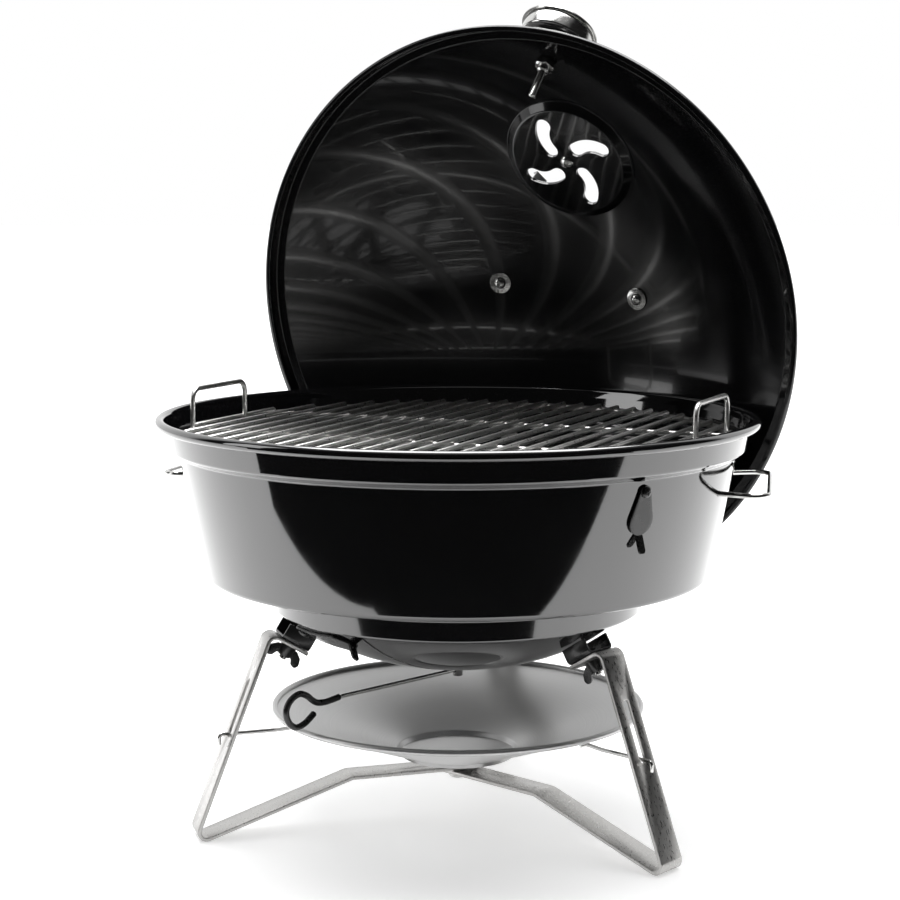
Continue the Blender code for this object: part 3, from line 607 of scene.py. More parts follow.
def wall_r(z):
    share = (z - WALL_LOW[1]) / (WALL_HIGH[1] - WALL_LOW[1])
    return WALL_LOW[0] + share * (WALL_HIGH[0] - WALL_LOW[0])


bead = arc((BEAD_R, BEAD_Z), BEAD_TUBE, 186.0, -128.0, 28)
side = rounded(
    [
        (227.0, 314.6), (223.6, 298.7), (217.2, 294.7), (197.5, 199.0),
        (146.3, 189.7), (145.2, 172.3), (140.0, dish_z(140.0)),
    ],
    [3.2, 2.6, 5.0, 3.6, 2.6],
)
dish = [(r, dish_z(r)) for r in (130.0, 118.0, 104.0, 88.0, 70.0, 50.0, 28.0)]
dish.append((DISH_HOLE_R, dish_z(DISH_HOLE_R)))
outside = side + [Vector(p) for p in dish]
inside = offset_path(outside, SHEET)
inside[-1] = Vector((DISH_HOLE_R, dish_z(DISH_HOLE_R, DISH_R - SHEET)))
bowl = turned(
    bead + outside + list(reversed(inside)), STAND, steps=180, closed=True
)
for index in range(3):
    azimuth = 50.0 + 120.0 * index
    cut(bowl, cutter(
        VENT_R, 20.0,
        STAND @ turn(azimuth, "Z") @ spot(VENT_CIRCLE_R, 0.0, dish_z(VENT_CIRCLE_R)),
    ))


# ------------------------------------------------------------- strap legs
def tangent(point, centre, radius, sense):
    reach = Vector(point) - Vector(centre)
    swing = math.acos(radius / reach.length)
    return math.degrees(math.atan2(reach.y, reach.x) + sense * swing)


def bracket_point(t, n):
    cos, sin = math.cos(BRACKET_SLOPE), math.sin(BRACKET_SLOPE)
    return (
        BRACKET_AT[0] + cos * t + sin * n,
        BRACKET_AT[1] + sin * t - cos * n,
    )


FOOT_Z = FOOT_BEND * math.cos(math.radians(FOOT_FLAT)) + STRAP_T / 2
SHANK_R, SHANK_HOLE_R = 3.0, 3.3


def leg_path(hub_z):
    foot = (FOOT_R, FOOT_Z)
    corner = bracket_point(20.0, FLANGE_N)
    kink = (KINK_R, hub_z)
    high = tangent(corner, foot, FOOT_BEND, -1.0)
    low = tangent(kink, foot, FOOT_BEND, 1.0) % 360.0 - 360.0
    lower = (270.0 - FOOT_FLAT) - 360.0
    upper = (270.0 + FOOT_FLAT) - 360.0
    touch = arc(foot, FOOT_BEND, high, high, 1)[0]
    leave = arc(foot, FOOT_BEND, low, low, 1)[0]
    top = rounded([bracket_point(-13.0, FLANGE_N), corner, touch], 6.0)
    bend = arc(foot, FOOT_BEND, high, upper, 12)[1:]
    flat = arc(foot, FOOT_BEND, lower, lower, 1)[:1]
    hub = rounded([leave, kink, (HUB_END_R, hub_z)], 8.0)
    return top + bend + flat + hub, Vector(corner), touch


hub_axis = cutter(SHANK_HOLE_R, 30.0, STAND @ spot(0, 0, 40))
bracket_axes = axes(
    (BRACKET_AT[0], 0.0, BRACKET_AT[1]),
    (math.cos(BRACKET_SLOPE), 0.0, math.sin(BRACKET_SLOPE)),
    (0.0, -1.0, 0.0),
    (math.sin(BRACKET_SLOPE), 0.0, -math.cos(BRACKET_SLOPE)),
)


def hexagon(across, top, bottom, bore, place, chamfer=0.9):
    """Hexagon nut with chamfered corners and a round bore."""
    corner = across / math.cos(math.radians(30.0)) / 2
    nut = turned([(0.0, top), (corner, top), (corner, bottom), (0.0, bottom)],
                 place, steps=6)
    dome = turned(
        [
            (0.0, top + 0.01), (corner - chamfer * 1.6, top + 0.01),
            (corner + 0.3, top - chamfer), (corner + 0.3, bottom + chamfer),
            (corner - chamfer * 1.6, bottom - 0.01), (0.0, bottom - 0.01),
        ],
        place, steps=48,
    )
    boolean(nut, dome, "INTERSECT")
    if bore:
        middle = (top + bottom) / 2
        cut(nut, cutter(bore, abs(top - bottom) + 8.0, place @ spot(0, 0, middle)))
    return nut


for side_name, azimuth in LEG_AZIMUTH.items():
    radial = STAND @ turn(azimuth, "Z")
    seat = radial @ bracket_axes
    path, corner, touch = leg_path(LEG_HUB_Z[side_name])
    leg = strap(path, STRAP_W, STRAP_T, radial)
    run = (touch - corner).normalized()
    end = corner + run * (corner.y - SLOT_END_Z) / -run.y
    middle = end - run * SLOT_LENGTH / 2
    reach = SLOT_LENGTH / 2 - SLOT_W / 2
    stadium = arc((reach, 0.0), SLOT_W / 2, -90.0, 90.0, 12)
    stadium += arc((-reach, 0.0), SLOT_W / 2, 90.0, 270.0, 12)
    slot = prism(
        [stadium], 12.0,
        radial @ axes(
            (middle.x, 0.0, middle.y),
            (run.x, 0.0, run.y), (0.0, 1.0, 0.0), (-run.y, 0.0, run.x),
        ),
    )
    clamp_hole = cutter(SHANK_HOLE_R, 12.0, seat @ spot(0, 0, 13.0))
    cut(leg, slot, clamp_hole, hub_axis)
    soften(leg, 0.45)
    settle(leg, f"v_leg_{side_name}", "stand", f"leg_{side_name}",
           STRAP_STEEL, 52.0)

    channel = [(-12.9, 0.5), (-12.9, 11.8), (12.9, 11.8), (12.9, 0.5)]
    bracket = strap(rounded(channel, 2.5), 24.0, 2.0, seat @ turn(90.0, "Z"))
    cut(bracket, clamp_hole)
    soften(bracket, 0.4)
    settle(bracket, f"v_leg_bracket_{side_name}", "stand",
           f"leg_bracket_{side_name}", BLACK_STEEL, 52.0)

    shank = turned(
        [
            (0.0, 28.0), (2.2, 28.0), (SHANK_R, 27.2), (SHANK_R, 10.4),
            (0.0, 10.4),
        ],
        seat, steps=32,
    )
    head = hexagon(10.0, 10.5, 7.2, None, seat)
    settle([shank, head], f"v_leg_bolt_{side_name}", "stand",
           f"leg_bolt_{side_name}", BRIGHT)

    boss = turned(
        [
            (SHANK_HOLE_R, 25.5), (4.6, 25.5), (5.2, 24.9), (6.5, 17.4),
            (6.7, 16.5), (SHANK_HOLE_R, 16.5),
        ],
        seat, steps=48, closed=True,
    )
    wing = rounded(
        [
            (3.8, 21.0), (3.8, 17.8), (8.4, 18.0), (13.2, 21.8), (14.8, 27.0),
            (12.6, 30.6), (8.6, 29.0), (6.6, 25.2), (3.8, 24.4), (3.8, 21.0),
        ],
        [0.6, 2.0, 2.6, 2.6, 2.4, 2.4, 1.2, 0.4], 5,
    )[:-1]
    other = [Vector((-p.x, p.y)) for p in reversed(wing)]
    wings = prism([wing, other], 2.6, seat @ turn(90.0, "X"))
    soften(wings, 0.7, 3)
    join(boss, wings)
    settle(boss, f"v_wing_nut_{side_name}", f"wing_nut_{side_name}",
           f"wing_nut_{side_name}", BLACK_STEEL, 44.0)

hub_head = turned(
    [Vector((0.0, 47.2))]
    + [Vector((8.0 * math.sin(a), 44.8 + 2.4 * math.cos(a)))
       for a in (0.3, 0.6, 0.9, 1.2, 1.45)]
    + [Vector(p) for p in ((8.0, 44.8), (SHANK_R, 44.8), (SHANK_R, 29.4),
                           (2.4, 29.0), (0.0, 29.0))],
    STAND, steps=48,
)
settle(hub_head, "v_hub_bolt", "stand", "hub_bolt", BRIGHT)
settle(hexagon(12.6, 34.6, 30.2, 3.2, STAND), "v_hub_nut", "stand", "hub_nut",
       BRIGHT)


# ---------------------------------------------------------- wire handles
HANDLE_Z, HANDLE_WIRE = 272.5, 2.0
HANDLES = {
    "right": (-9.6, 242.0, 71.0, 55.0),
    "left": (163.0, 230.0, 60.0, 46.0),
}
for side_name, (azimuth, reach, half, root) in HANDLES.items():
    radial = STAND @ turn(azimuth, "Z")
    start = math.sqrt((wall_r(HANDLE_Z) - 4.0) ** 2 - root * root)
    bend = [
        (start, -root, HANDLE_Z), (reach, -half, HANDLE_Z),
        (reach, half, HANDLE_Z), (start, root, HANDLE_Z),
    ]
    loop = wire(rounded(bend, 12.0), HANDLE_WIRE, radial)
    settle(loop, f"v_side_handle_{side_name}", "stand",
           f"side_handle_{side_name}", BRIGHT)
    for sign in (-1.0, 1.0):
        slope = (half - root) / (reach - start)
        lean = math.degrees(math.atan(sign * slope))
        cut(bowl, cutter(
            HANDLE_WIRE + 0.4, 14.0,
            radial @ spot(start + 3.0, sign * (root + 3.0 * slope), HANDLE_Z)
            @ turn(lean, "Z") @ turn(90.0, "Y"),
            24,
        ))


# ------------------------------------------------------------- air ports
port_angle = math.atan2(WALL_HIGH[0] - WALL_LOW[0], WALL_HIGH[1] - WALL_LOW[1])
port_frame = STAND @ turn(PORT_AZIMUTH, "Z") @ axes(
    (wall_r(PORT_Z), 0.0, PORT_Z),
    (0.0, 1.0, 0.0),
    (math.sin(port_angle), 0.0, math.cos(port_angle)),
    (math.cos(port_angle), 0.0, -math.sin(port_angle)),
)


def pear_half_width(t, small, large, span):
    lean = math.asin((large - small) / span)
    first, last = -small * math.sin(lean), span - large * math.sin(lean)
    if t < first:
        return math.sqrt(max(small * small - t * t, 0.0))
    if t > last:
        return math.sqrt(max(large * large - (t - span) ** 2, 0.0))
    return small / math.cos(lean) + t * math.tan(lean)


def pear_rows(small, large, span, tab, height, columns=7):
    """Rows across a pear plate from its small end to where its tab starts."""
    end = span + math.sqrt(large * large - tab * tab)
    steps = [-small * math.cos(math.radians(a)) for a in range(8, 90, 9)]
    steps += [span * i / 14 for i in range(1, 14)]
    steps += [
        span + (end - span) * math.sin(math.radians(a)) for a in range(0, 91, 9)
    ]
    shares = [-1.0 + 2.0 * i / (columns - 1) for i in range(columns)]
    rows = []
    for t in steps:
        half = max(pear_half_width(t, small, large, span), tab if t > span else 0.3)
        rows.append([(t, s * half, height(t, s * half)) for s in shares])
    return rows


def bent_tab(rows, edge, tab, low, angle, length, radius=2.0):
    """Add a tab that curls away from the plate and ends in a round tip."""
    columns = len(rows[0])
    shares = [-1.0 + 2.0 * i / (columns - 1) for i in range(columns)]
    bend = [math.radians(angle) * i / 6 for i in range(1, 7)]
    path = [(radius * math.sin(a), radius * (1.0 - math.cos(a))) for a in bend]
    tip = path[-1]
    cos, sin = math.cos(bend[-1]), math.sin(bend[-1])
    straight = length - radius * bend[-1]
    runs = [straight * share for share in (0.5, 0.78, 0.88, 0.95, 0.985)]
    widths = [1.0] * 6 + [1.0, 1.0, 0.9, 0.68, 0.42]
    path += [(tip[0] + run * cos, tip[1] + run * sin) for run in runs]
    for (x, z), width in zip(path, widths):
        rows.append([(edge + x, s * tab * width, low + z) for s in shares])


PORT_PLATE = 1.15
rows = pear_rows(4.8, 10.5, PORT_DROP, 3.0, lambda t, w: PORT_PLATE)
bent_tab(rows, rows[-1][0][0], 3.0, PORT_PLATE, 29.0, 14.0)
port_cover = shell_of(rows, 1.5, port_frame @ turn(-90.0, "Z"))
port_pin = cutter(2.3, 16.0, port_frame)
port_hole = cutter(9.0, 16.0, port_frame @ spot(0.0, -PORT_DROP, 0.0))
cut(port_cover, port_pin)
cut(bowl, port_pin, port_hole)
soften(port_cover, 0.3)
settle(port_cover, "v_port_cover", "port_cover", "port_cover",
       BLACK_STEEL, 52.0)


def screw_head(radius, low, high, shank, tail, place, slot_depth=0.8):
    """Pan-head screw with a cross recess, its head upward along local Z."""
    crown = [
        (radius * math.sin(a) if a < 1.5 else radius,
         low + (high - low) * max(math.cos(a), 0.0) ** 0.8)
        for a in (0.35, 0.7, 1.0, 1.25, 1.45)
    ]
    screw = turned(
        [(0.0, high), *crown, (radius, low + 0.25), (radius - 0.15, low),
         (shank, low), (shank, tail + 0.5), (shank - 0.5, tail), (0.0, tail)],
        place, steps=40,
    )
    for swing in (0.0, 90.0):
        bar = prism(
            [[(-radius * 0.5, -0.45), (radius * 0.5, -0.45),
              (radius * 0.5, 0.45), (-radius * 0.5, 0.45)]],
            2.0 * slot_depth, place @ spot(0.0, 0.0, high) @ turn(swing + 20.0, "Z"),
        )
        cut(screw, bar)
    return screw


settle(screw_head(4.0, 2.3, 4.6, 2.0, -5.0, port_frame), "v_port_screw", "stand",
       "port_screw", BLACK_STEEL)

tilt = math.asin(DAMPER_R / DISH_R)
damper_frame = STAND @ turn(DAMPER_AZIMUTH, "Z") @ axes(
    (DAMPER_R, 0.0, dish_z(DAMPER_R)),
    (0.0, 1.0, 0.0),
    (math.cos(tilt), 0.0, math.sin(tilt)),
    (math.sin(tilt), 0.0, -math.cos(tilt)),
)
far = polar(DAMPER_END_R, DAMPER_END_TURN, dish_z(DAMPER_END_R) - DISH_CENTRE_Z)
far_x = far.y
far_y = far.x * math.cos(tilt) + far.z * math.sin(tilt)
DAMPER_SPAN = math.hypot(far_x, far_y)
DAMPER_AIM = math.degrees(math.atan2(far_y, far_x))
DAMPER_SHEET_R = DISH_R + 0.4 + 0.75


def dish_lift(x, y):
    return math.sqrt(DAMPER_SHEET_R ** 2 - x * x - y * y) - DISH_R


rows = pear_rows(7.5, 12.5, DAMPER_SPAN, 3.5, dish_lift)
edge = rows[-1][3][0]
fall = math.degrees(math.asin(edge / DAMPER_SHEET_R))
bent_tab(rows, edge, 3.5, dish_lift(edge, 0.0), 48.0 - fall, 16.0)
ash_damper = shell_of(rows, 1.5, damper_frame @ turn(DAMPER_AIM, "Z"))
damper_pin = cutter(2.5, 16.0, damper_frame)
ash_port = cutter(
    10.0, 24.0,
    damper_frame @ turn(DAMPER_AIM, "Z") @ spot(DAMPER_SPAN, 0.0, -4.0)
    @ turn(math.degrees(math.asin(DAMPER_SPAN / DISH_R)), "Y"),
)
cut(ash_damper, damper_pin)
cut(bowl, damper_pin, ash_port)
soften(ash_damper, 0.3)
settle(ash_damper, "v_ash_damper", "ash_damper", "ash_damper",
       BLACK_STEEL, 52.0)
settle(screw_head(4.6, 2.4, 4.6, 2.2, -5.0, damper_frame), "v_damper_screw",
       "stand", "damper_screw", BLACK_STEEL)


# ----------------------------------------------------- sweeper and lever
lever_frame = STAND @ turn(LEVER_AZIMUTH, "Z")
shaft = turned(
    rounded(
        [
            (0.0, 134.0), (4.0, 134.0), (4.0, 112.6), (0.0, 112.6),
        ],
        1.0, 4,
    ),
    lever_frame, steps=40,
)
cut(shaft, cutter(2.0, 20.0, lever_frame @ spot(0.0, 0.0, 117.56)
                  @ turn(91.0, "Y"), 24))
settle(shaft, "v_sweeper_shaft", "sweeper", "sweeper_shaft",
       BRIGHT)
settle(
    wire([(-8.0, 0.0, 117.7), (55.0, 0.0, 116.6), (118.0, 0.0, 115.5)], 1.7,
         lever_frame),
    "v_lever_rod", "sweeper", "lever_rod", BRIGHT,
)
GRIP_PATH = [
    (118.6, 115.5), (126.0, 114.4), (133.0, 113.7), (140.0, 114.5),
    (145.0, 117.4), (150.0, 121.5), (157.0, 123.8), (165.0, 120.0),
    (169.0, 112.4), (166.6, 103.8), (160.0, 98.9), (152.5, 100.4),
    (147.2, 103.7), (142.6, 107.2),
]
settle(
    wire([(p.x, 0.0, p.y) for p in smooth_path(GRIP_PATH)], 2.5, lever_frame),
    "v_lever_grip", "sweeper", "lever_grip", VINYL,
)
settle(hexagon(13.0, 123.0, 120.0, 4.3, lever_frame), "v_shaft_nut", "sweeper",
       "shaft_nut", BRIGHT)
blade_path = [
    Vector((r, dish_z(r, DISH_R - SHEET) + 2.3))
    for r in (9.0, 18.0, 28.0, 38.0, 50.0, 62.0)
]
blades = [
    turned([(14.0, 129.4), (14.0, 127.2), (4.3, 127.2), (4.3, 129.4)],
           lever_frame, steps=48, closed=True)
]
for index in range(3):
    arm = strap(blade_path, 14.0, 1.5, lever_frame @ turn(120.0 * index + 20.0, "Z"))
    blades.append(soften(arm, 0.3))
settle(blades, "v_sweeper_blades", "sweeper", "sweeper_blades",
       BLACK_STEEL, 52.0)


# ---------------------------------------------------------------- ash pan
pan_bead = arc((PAN_RIM_R, PAN_RIM_Z), PAN_TUBE, 205.0, -105.0, 22)
pan_side = rounded(
    [(142.6, 88.2), (60.0, 57.6), (48.6, 53.4), (PAN_RECESS_R, PAN_FLOOR_Z),
     (0.0, PAN_FLOOR_Z)],
    [60.0, 1.6, 1.6], 6,
)
pan_inside = offset_path(pan_side, 1.2)
pan_inside[-1] = Vector((0.0, PAN_FLOOR_Z + 1.2))
pan = turned(list(reversed(pan_inside)) + pan_bead + pan_side, STAND, steps=160)
settle(pan, "v_ash_pan", "ash_pan", "ash_pan", ALUMINIUM, 40.0)
for side_name, azimuth in LEG_AZIMUTH.items():
    hanger = rounded(
        [
            (131.0, -7.0, 81.4), (131.0, 0.5, 81.4), (146.0, 0.0, 80.2),
            (192.5, 0.0, 79.9), (192.5, 0.0, 72.0),
        ],
        2.4, 5,
    )
    settle(wire(hanger, 1.5, STAND @ turn(azimuth, "Z")),
           f"v_pan_hanger_{side_name}", "ash_pan", f"pan_hanger_{side_name}",
           BRIGHT)


# ----------------------------------------------------------------- grates
def ring(radius, tube, place, steps=180):
    profile = arc((radius, 0.0), tube, 90.0, -247.5, 15)
    return turned(profile, place, steps, closed=True)


def rod_spans(ring_r, pitch, z, phase):
    count = int(ring_r / pitch) + 1
    spans = []
    for i in range(-count, count + 1):
        y = (i + phase) * pitch
        if abs(y) < ring_r - 4.0:
            spans.append((y, z, math.sqrt(ring_r * ring_r - y * y)))
    return spans


grate_frame = STAND @ turn(GRATE_AZIMUTH, "Z")
grate = [ring(GRATE_R, 2.6, grate_frame @ spot(0.0, 0.0, GRATE_RING_Z))]
grate += rods(rod_spans(GRATE_R, GRATE_PITCH, GRATE_ROD_Z, 0.5), GRATE_ROD_R,
              grate_frame)
grate += rods([(y, 306.4, math.sqrt(GRATE_R ** 2 - y * y)) for y in (-70.0, 70.0)],
              2.2, grate_frame @ turn(90.0, "Z"))
for sign, middle in GRATE_LOOPS:
    reach = sign * LOOP_OUT
    loop = rounded(
        [
            (middle - LOOP_HALF, reach, 308.5), (middle - LOOP_HALF, reach, LOOP_TOP),
            (middle + LOOP_HALF, reach, LOOP_TOP), (middle + LOOP_HALF, reach, 308.5),
        ],
        9.0,
    )
    grate.append(wire(loop, 2.0, grate_frame))
# The cooking grate gets the lighter steel, whose colour is painted light.
settle(grate, "v_cooking_grate", "cooking_grate", "cooking_grate",
       LIT_GRATE_STEEL, 50.0)

coal = [ring(COAL_R, 2.5, grate_frame @ spot(0.0, 0.0, COAL_RING_Z))]
coal += rods(rod_spans(COAL_R, COAL_PITCH, COAL_ROD_Z, 0.5), COAL_ROD_R,
             grate_frame @ turn(90.0, "Z"), 12)
coal += rods([(y, 201.6, math.sqrt(COAL_R ** 2 - y * y)) for y in (-60.0, 60.0)],
             2.3, grate_frame, 12)
settle(coal, "v_charcoal_grate", "charcoal_grate", "charcoal_grate",
       ROD_STEEL, 50.0)

for side_name, azimuth in LEG_AZIMUTH.items():
    tab = strap(rounded(TAB_PATH, 2.5), 14.0, 1.5, STAND @ turn(azimuth, "Z"))
    soften(tab, 0.3)
    settle(tab, f"v_grate_tab_{side_name}", "stand", f"grate_tab_{side_name}",
           STRAP_STEEL, 52.0)

dish_rule = sphere_rule((AXIS_X * MM, AXIS_Y * MM, DISH_CENTRE_Z * MM))
wall_rule = cone_rule((AXIS_X * MM, AXIS_Y * MM, 0.0), math.tan(port_angle))
settle(bowl, "v_bowl_shell", "stand", "bowl_shell", ENAMEL, 35.0,
       [wall_rule, dish_rule])


# -------------------------------------------------------------------- lid
azimuth, rise = math.radians(LID_AZIMUTH), math.radians(LID_RISE)
spin = math.radians(LID_SPIN)
crown = Vector((
    math.cos(rise) * math.cos(azimuth), math.cos(rise) * math.sin(azimuth),
    math.sin(rise),
))
level = Vector((-math.sin(azimuth), math.cos(azimuth), 0.0))
upward = crown.cross(level)
lid_x = level * math.cos(spin) + upward * math.sin(spin)
lid_y = upward * math.cos(spin) - level * math.sin(spin)
LID = STAND @ axes(LID_CENTRE, lid_x, lid_y, crown)


def dome_z(r, radius=DOME_R):
    return DOME_CENTRE + math.sqrt(radius * radius - r * r)


stations = [12.0 * i for i in range(1, 18)] + [213.0, 222.0]
dome_out = [Vector((r, dome_z(r, DOME_R + SHEET))) for r in [0.0, *stations]]
dome_in = [Vector((r, dome_z(r))) for r in [*reversed(stations), 0.0]]
edge_out = rounded(
    [
        (222.0, dome_z(222.0, DOME_R + SHEET)), (229.6, 14.0), (238.3, 13.4),
        (238.3, 4.7), (LID_RIM_R, 4.2), (LID_RIM_R, -0.4), (236.7, -0.4),
        (236.7, 11.8), (229.2, 12.5), (222.0, dome_z(222.0)),
    ],
    [2.5, 2.4, 0.6, 1.6, 2.0, 1.0, 1.6, 2.0], 6,
)
lid = turned(dome_out + edge_out[1:-1] + dome_in, LID, steps=192)


def dome_frame(x, y):
    """Frame at the dome's centre of curvature, its Z through (x, y)."""
    aim = Vector((x, y, math.sqrt(DOME_R ** 2 - x * x - y * y))).normalized()
    side_axis = Vector((0.0, 1.0, 0.0)).cross(aim).normalized()
    return LID @ axes((0.0, 0.0, DOME_CENTRE), side_axis, aim.cross(side_axis), aim)


vent_frame = dome_frame(*VENT_AT)
thermo_frame = dome_frame(*THERMO_AT)
plateau_low = rounded(
    [(59.6, 303.75), (57.4, 304.2), (50.6, PLATEAU_H), (0.0, PLATEAU_H)],
    [1.0, 4.0],
)
plateau_high = rounded(
    [(0.0, PLATEAU_H + SHEET), (50.0, PLATEAU_H + SHEET), (56.4, 306.4),
     (59.6, 306.5)],
    [3.0, 1.2],
)
plateau = turned(plateau_high + plateau_low, vent_frame, steps=128)
cut(lid, cutter(58.0, 30.0, vent_frame @ spot(0.0, 0.0, 305.0), 128))
join(lid, plateau)


def bean(turn_by, inner=17.0, outer=38.0, sweep=27.0, width=13.0, bulge=3.5):
    """Outline of one curved vent opening."""
    def on(r, degrees):
        angle = math.radians(degrees)
        return Vector((-r * math.cos(angle), r * math.sin(angle)))

    start, end = on(inner, turn_by), on(outer, turn_by - sweep)
    along = (end - start).normalized()
    side_way = Vector((-along.y, along.x))
    if side_way.dot(on(1.0, turn_by + 60.0)) < 0.0:
        side_way = -side_way
    middle = (start + end) / 2 + side_way * bulge * 2.0
    spine = []
    for i in range(13):
        t = i / 12
        spine.append(
            start * (1 - t) ** 2 + middle * 2 * t * (1 - t) + end * t * t
        )
    left = offset_path(spine, -width / 2)
    right = offset_path(spine, width / 2)
    outline = list(left)
    for step, (centre, first) in enumerate(((end, left[-1]), (start, right[0]))):
        if step == 1:
            outline += list(reversed(right))
        arm = first - centre
        for part in range(1, 12):
            swing = Matrix.Rotation(-math.pi * part / 12, 2)
            outline.append(centre + swing @ arm)
    return outline


beans = prism([bean(52.0 + 90.0 * i) for i in range(4)], 30.0,
              vent_frame @ spot(0.0, 0.0, 302.0))
rivet_hole = cutter(2.8, 30.0, vent_frame @ spot(0.0, 0.0, 302.0), 32)
cut(lid, beans, rivet_hole)

lid_damper = turned(
    rounded([(0.0, 303.2), (47.0, 303.2), (47.0, 302.0), (0.0, 302.0)], 0.3, 3),
    vent_frame, steps=128,
)
cut(lid_damper, beans, rivet_hole)
finger = strap(
    rounded([(41.0, 302.6), (44.0, 302.6), (44.0, 314.0), (52.0, 318.0)],
            [1.2, 2.4]),
    12.0, 1.2, vent_frame @ turn(-38.0, "Z"),
)
settle([lid_damper, soften(finger, 0.3)], "v_lid_damper", "lid_damper",
       "lid_damper", BLACK_STEEL, 45.0)
settle(
    turned(
        [
            (0.0, 305.8), (2.2, 305.6), (4.2, 305.0), (5.6, 304.1),
            (6.0, 303.6), (2.5, 303.6), (2.5, 299.6), (6.0, 299.6),
            (5.6, 299.0), (4.2, 298.1), (2.2, 297.6), (0.0, 297.4),
        ],
        vent_frame, steps=48,
    ),
    "v_vent_rivet", "lid", "vent_rivet", BRIGHT,
)

posts = []
for index, sign in enumerate((-1.0, 1.0)):
    seat = dome_frame(
        LID_SCREW_OFFSET[0] + sign * LID_SCREW_X, LID_SCREW_OFFSET[1]
    )
    hole = cutter(2.9, 30.0, seat @ spot(0.0, 0.0, 318.0), 32)
    cut(lid, hole)
    washer = turned(
        rounded([(2.9, 309.3), (9.6, 309.3), (9.6, 308.3), (2.9, 308.3)], 0.3, 3),
        seat, steps=64, closed=True,
    )
    settle(washer, f"v_lid_washer_{index + 1}", "lid", f"lid_washer_{index + 1}",
           BRIGHT)
    settle(
        screw_head(5.2, -308.0, -304.6, 2.5, -329.0, seat @ turn(180.0, "X"), 1.2),
        f"v_lid_screw_{index + 1}", "lid", f"lid_screw_{index + 1}",
        BRIGHT,
    )
    post = turned(
        [
            Vector((0.0, 348.0)), Vector((6.5, 348.0)),
            *rounded([(6.4, 340.0), (7.0, 322.0), (9.2, 314.0), (9.2, 312.1)],
                     [20.0, 6.0]),
            Vector((0.0, 312.1)),
        ],
        seat, steps=48,
    )
    cut(post, hole)
    posts.append(post)
half_grip = rounded([(12.0, 0.0), (12.0, 50.0), (9.5, 80.0), (0.0, 80.0)],
                    [60.0, 5.0])
grip_profile = [Vector((p.x, p.y)) for p in reversed(half_grip)]
grip_profile += [Vector((p.x, -p.y)) for p in half_grip[1:]]
grip = turned(
    grip_profile,
    LID @ spot(*LID_SCREW_OFFSET, GRIP_HEIGHT) @ turn(90.0, "Y"),
    steps=64,
)
settle([grip, *posts], "v_lid_handle", "lid", "lid_handle", NYLON)

cut(lid, cutter(5.4, 30.0, thermo_frame @ spot(0.0, 0.0, 310.0)))
out = THERMO_OUT
case = turned(
    [
        Vector((0.0, 310.6 + out)),
        *rounded(
            [(27.0, 310.6 + out), (28.5, 310.6 + out), (28.5, 322.0 + out),
             (30.0, 322.0 + out), (30.0, 309.5 + out), (27.0, 307.6 + out),
             (9.0, 305.6 + out), (9.0, 312.0), (5.0, 312.0), (5.0, 300.0),
             (3.0, 299.4), (3.0, 274.6), (1.0, 273.6)],
            [0.8, 0.4, 0.4, 2.0, 1.5, 1.2, 0.6, 0.3, 0.4, 0.3, 0.8],
            5,
        ),
        Vector((0.0, 273.6)),
    ],
    thermo_frame, steps=96,
)
settle(case, "v_thermometer_case", "lid", "thermometer_case",
       BRIGHT)
settle(hexagon(14.8, 309.2, 303.4, 5.2, thermo_frame), "v_thermometer_nut", "lid",
       "thermometer_nut", BRIGHT)
settle(
    turned([(0.0, 312.6 + out), (28.1, 312.6 + out), (28.1, 311.4 + out),
            (0.0, 311.4 + out)], thermo_frame, steps=96),
    "v_thermometer_dial", "lid", "thermometer_dial", DIAL_WHITE,
)
marks = []
for index in range(DIAL_MARKS):
    long_mark = index % 4 == 0
    inner = 19.5 if long_mark else 22.0
    half = 0.5 if long_mark else 0.25
    tick = [(inner, -half), (25.0, -half), (25.0, half), (inner, half)]
    swing = DIAL_START + DIAL_SWEEP * index / (DIAL_MARKS - 1)
    marks.append(prism([tick], 0.16, thermo_frame @ turn(swing, "Z")
                       @ spot(0.0, 0.0, 312.7 + out)))
settle(marks, "v_dial_marks", "lid", [], DIAL_INK)
settle(
    turned([(0.0, 321.2 + out), (28.1, 321.2 + out), (28.1, 319.2 + out),
            (0.0, 319.2 + out)], thermo_frame, steps=96),
    "v_thermometer_glass", "lid", "thermometer_glass", CLEAR,
)
bezel = turned(
    rounded(
        [(26.4, 322.3 + out), (26.4, 324.6 + out), (31.4, 324.6 + out),
         (32.2, 323.4 + out), (32.2, 322.3 + out)],
        [0.5, 1.0, 0.5], 5,
    ),
    thermo_frame, steps=96, closed=True,
)
settle(bezel, "v_thermometer_bezel", "lid", "thermometer_bezel",
       BRIGHT)
pointer = prism(
    [[(-7.0, -1.2), (18.0, -0.7), (21.0, 0.0), (18.0, 0.7), (-7.0, 1.2)]],
    0.8, thermo_frame @ spot(0.0, 0.0, 314.4 + out),
)
spindle = turned(
    rounded([(0.0, 315.6 + out), (2.2, 315.6 + out), (2.2, 313.2 + out),
             (0.0, 313.2 + out)], 0.5, 3),
    thermo_frame, steps=32,
)
settle([pointer, spindle], "v_thermometer_needle", "thermometer_needle",
       "thermometer_needle", NEEDLE_RED)

dome_centre = LID @ Vector((0.0, 0.0, DOME_CENTRE * MM))
settle(lid, "v_lid_shell", "lid", "lid_shell", LID_ENAMEL, 35.0,
       [sphere_rule(tuple(dome_centre))])
clear_tools()


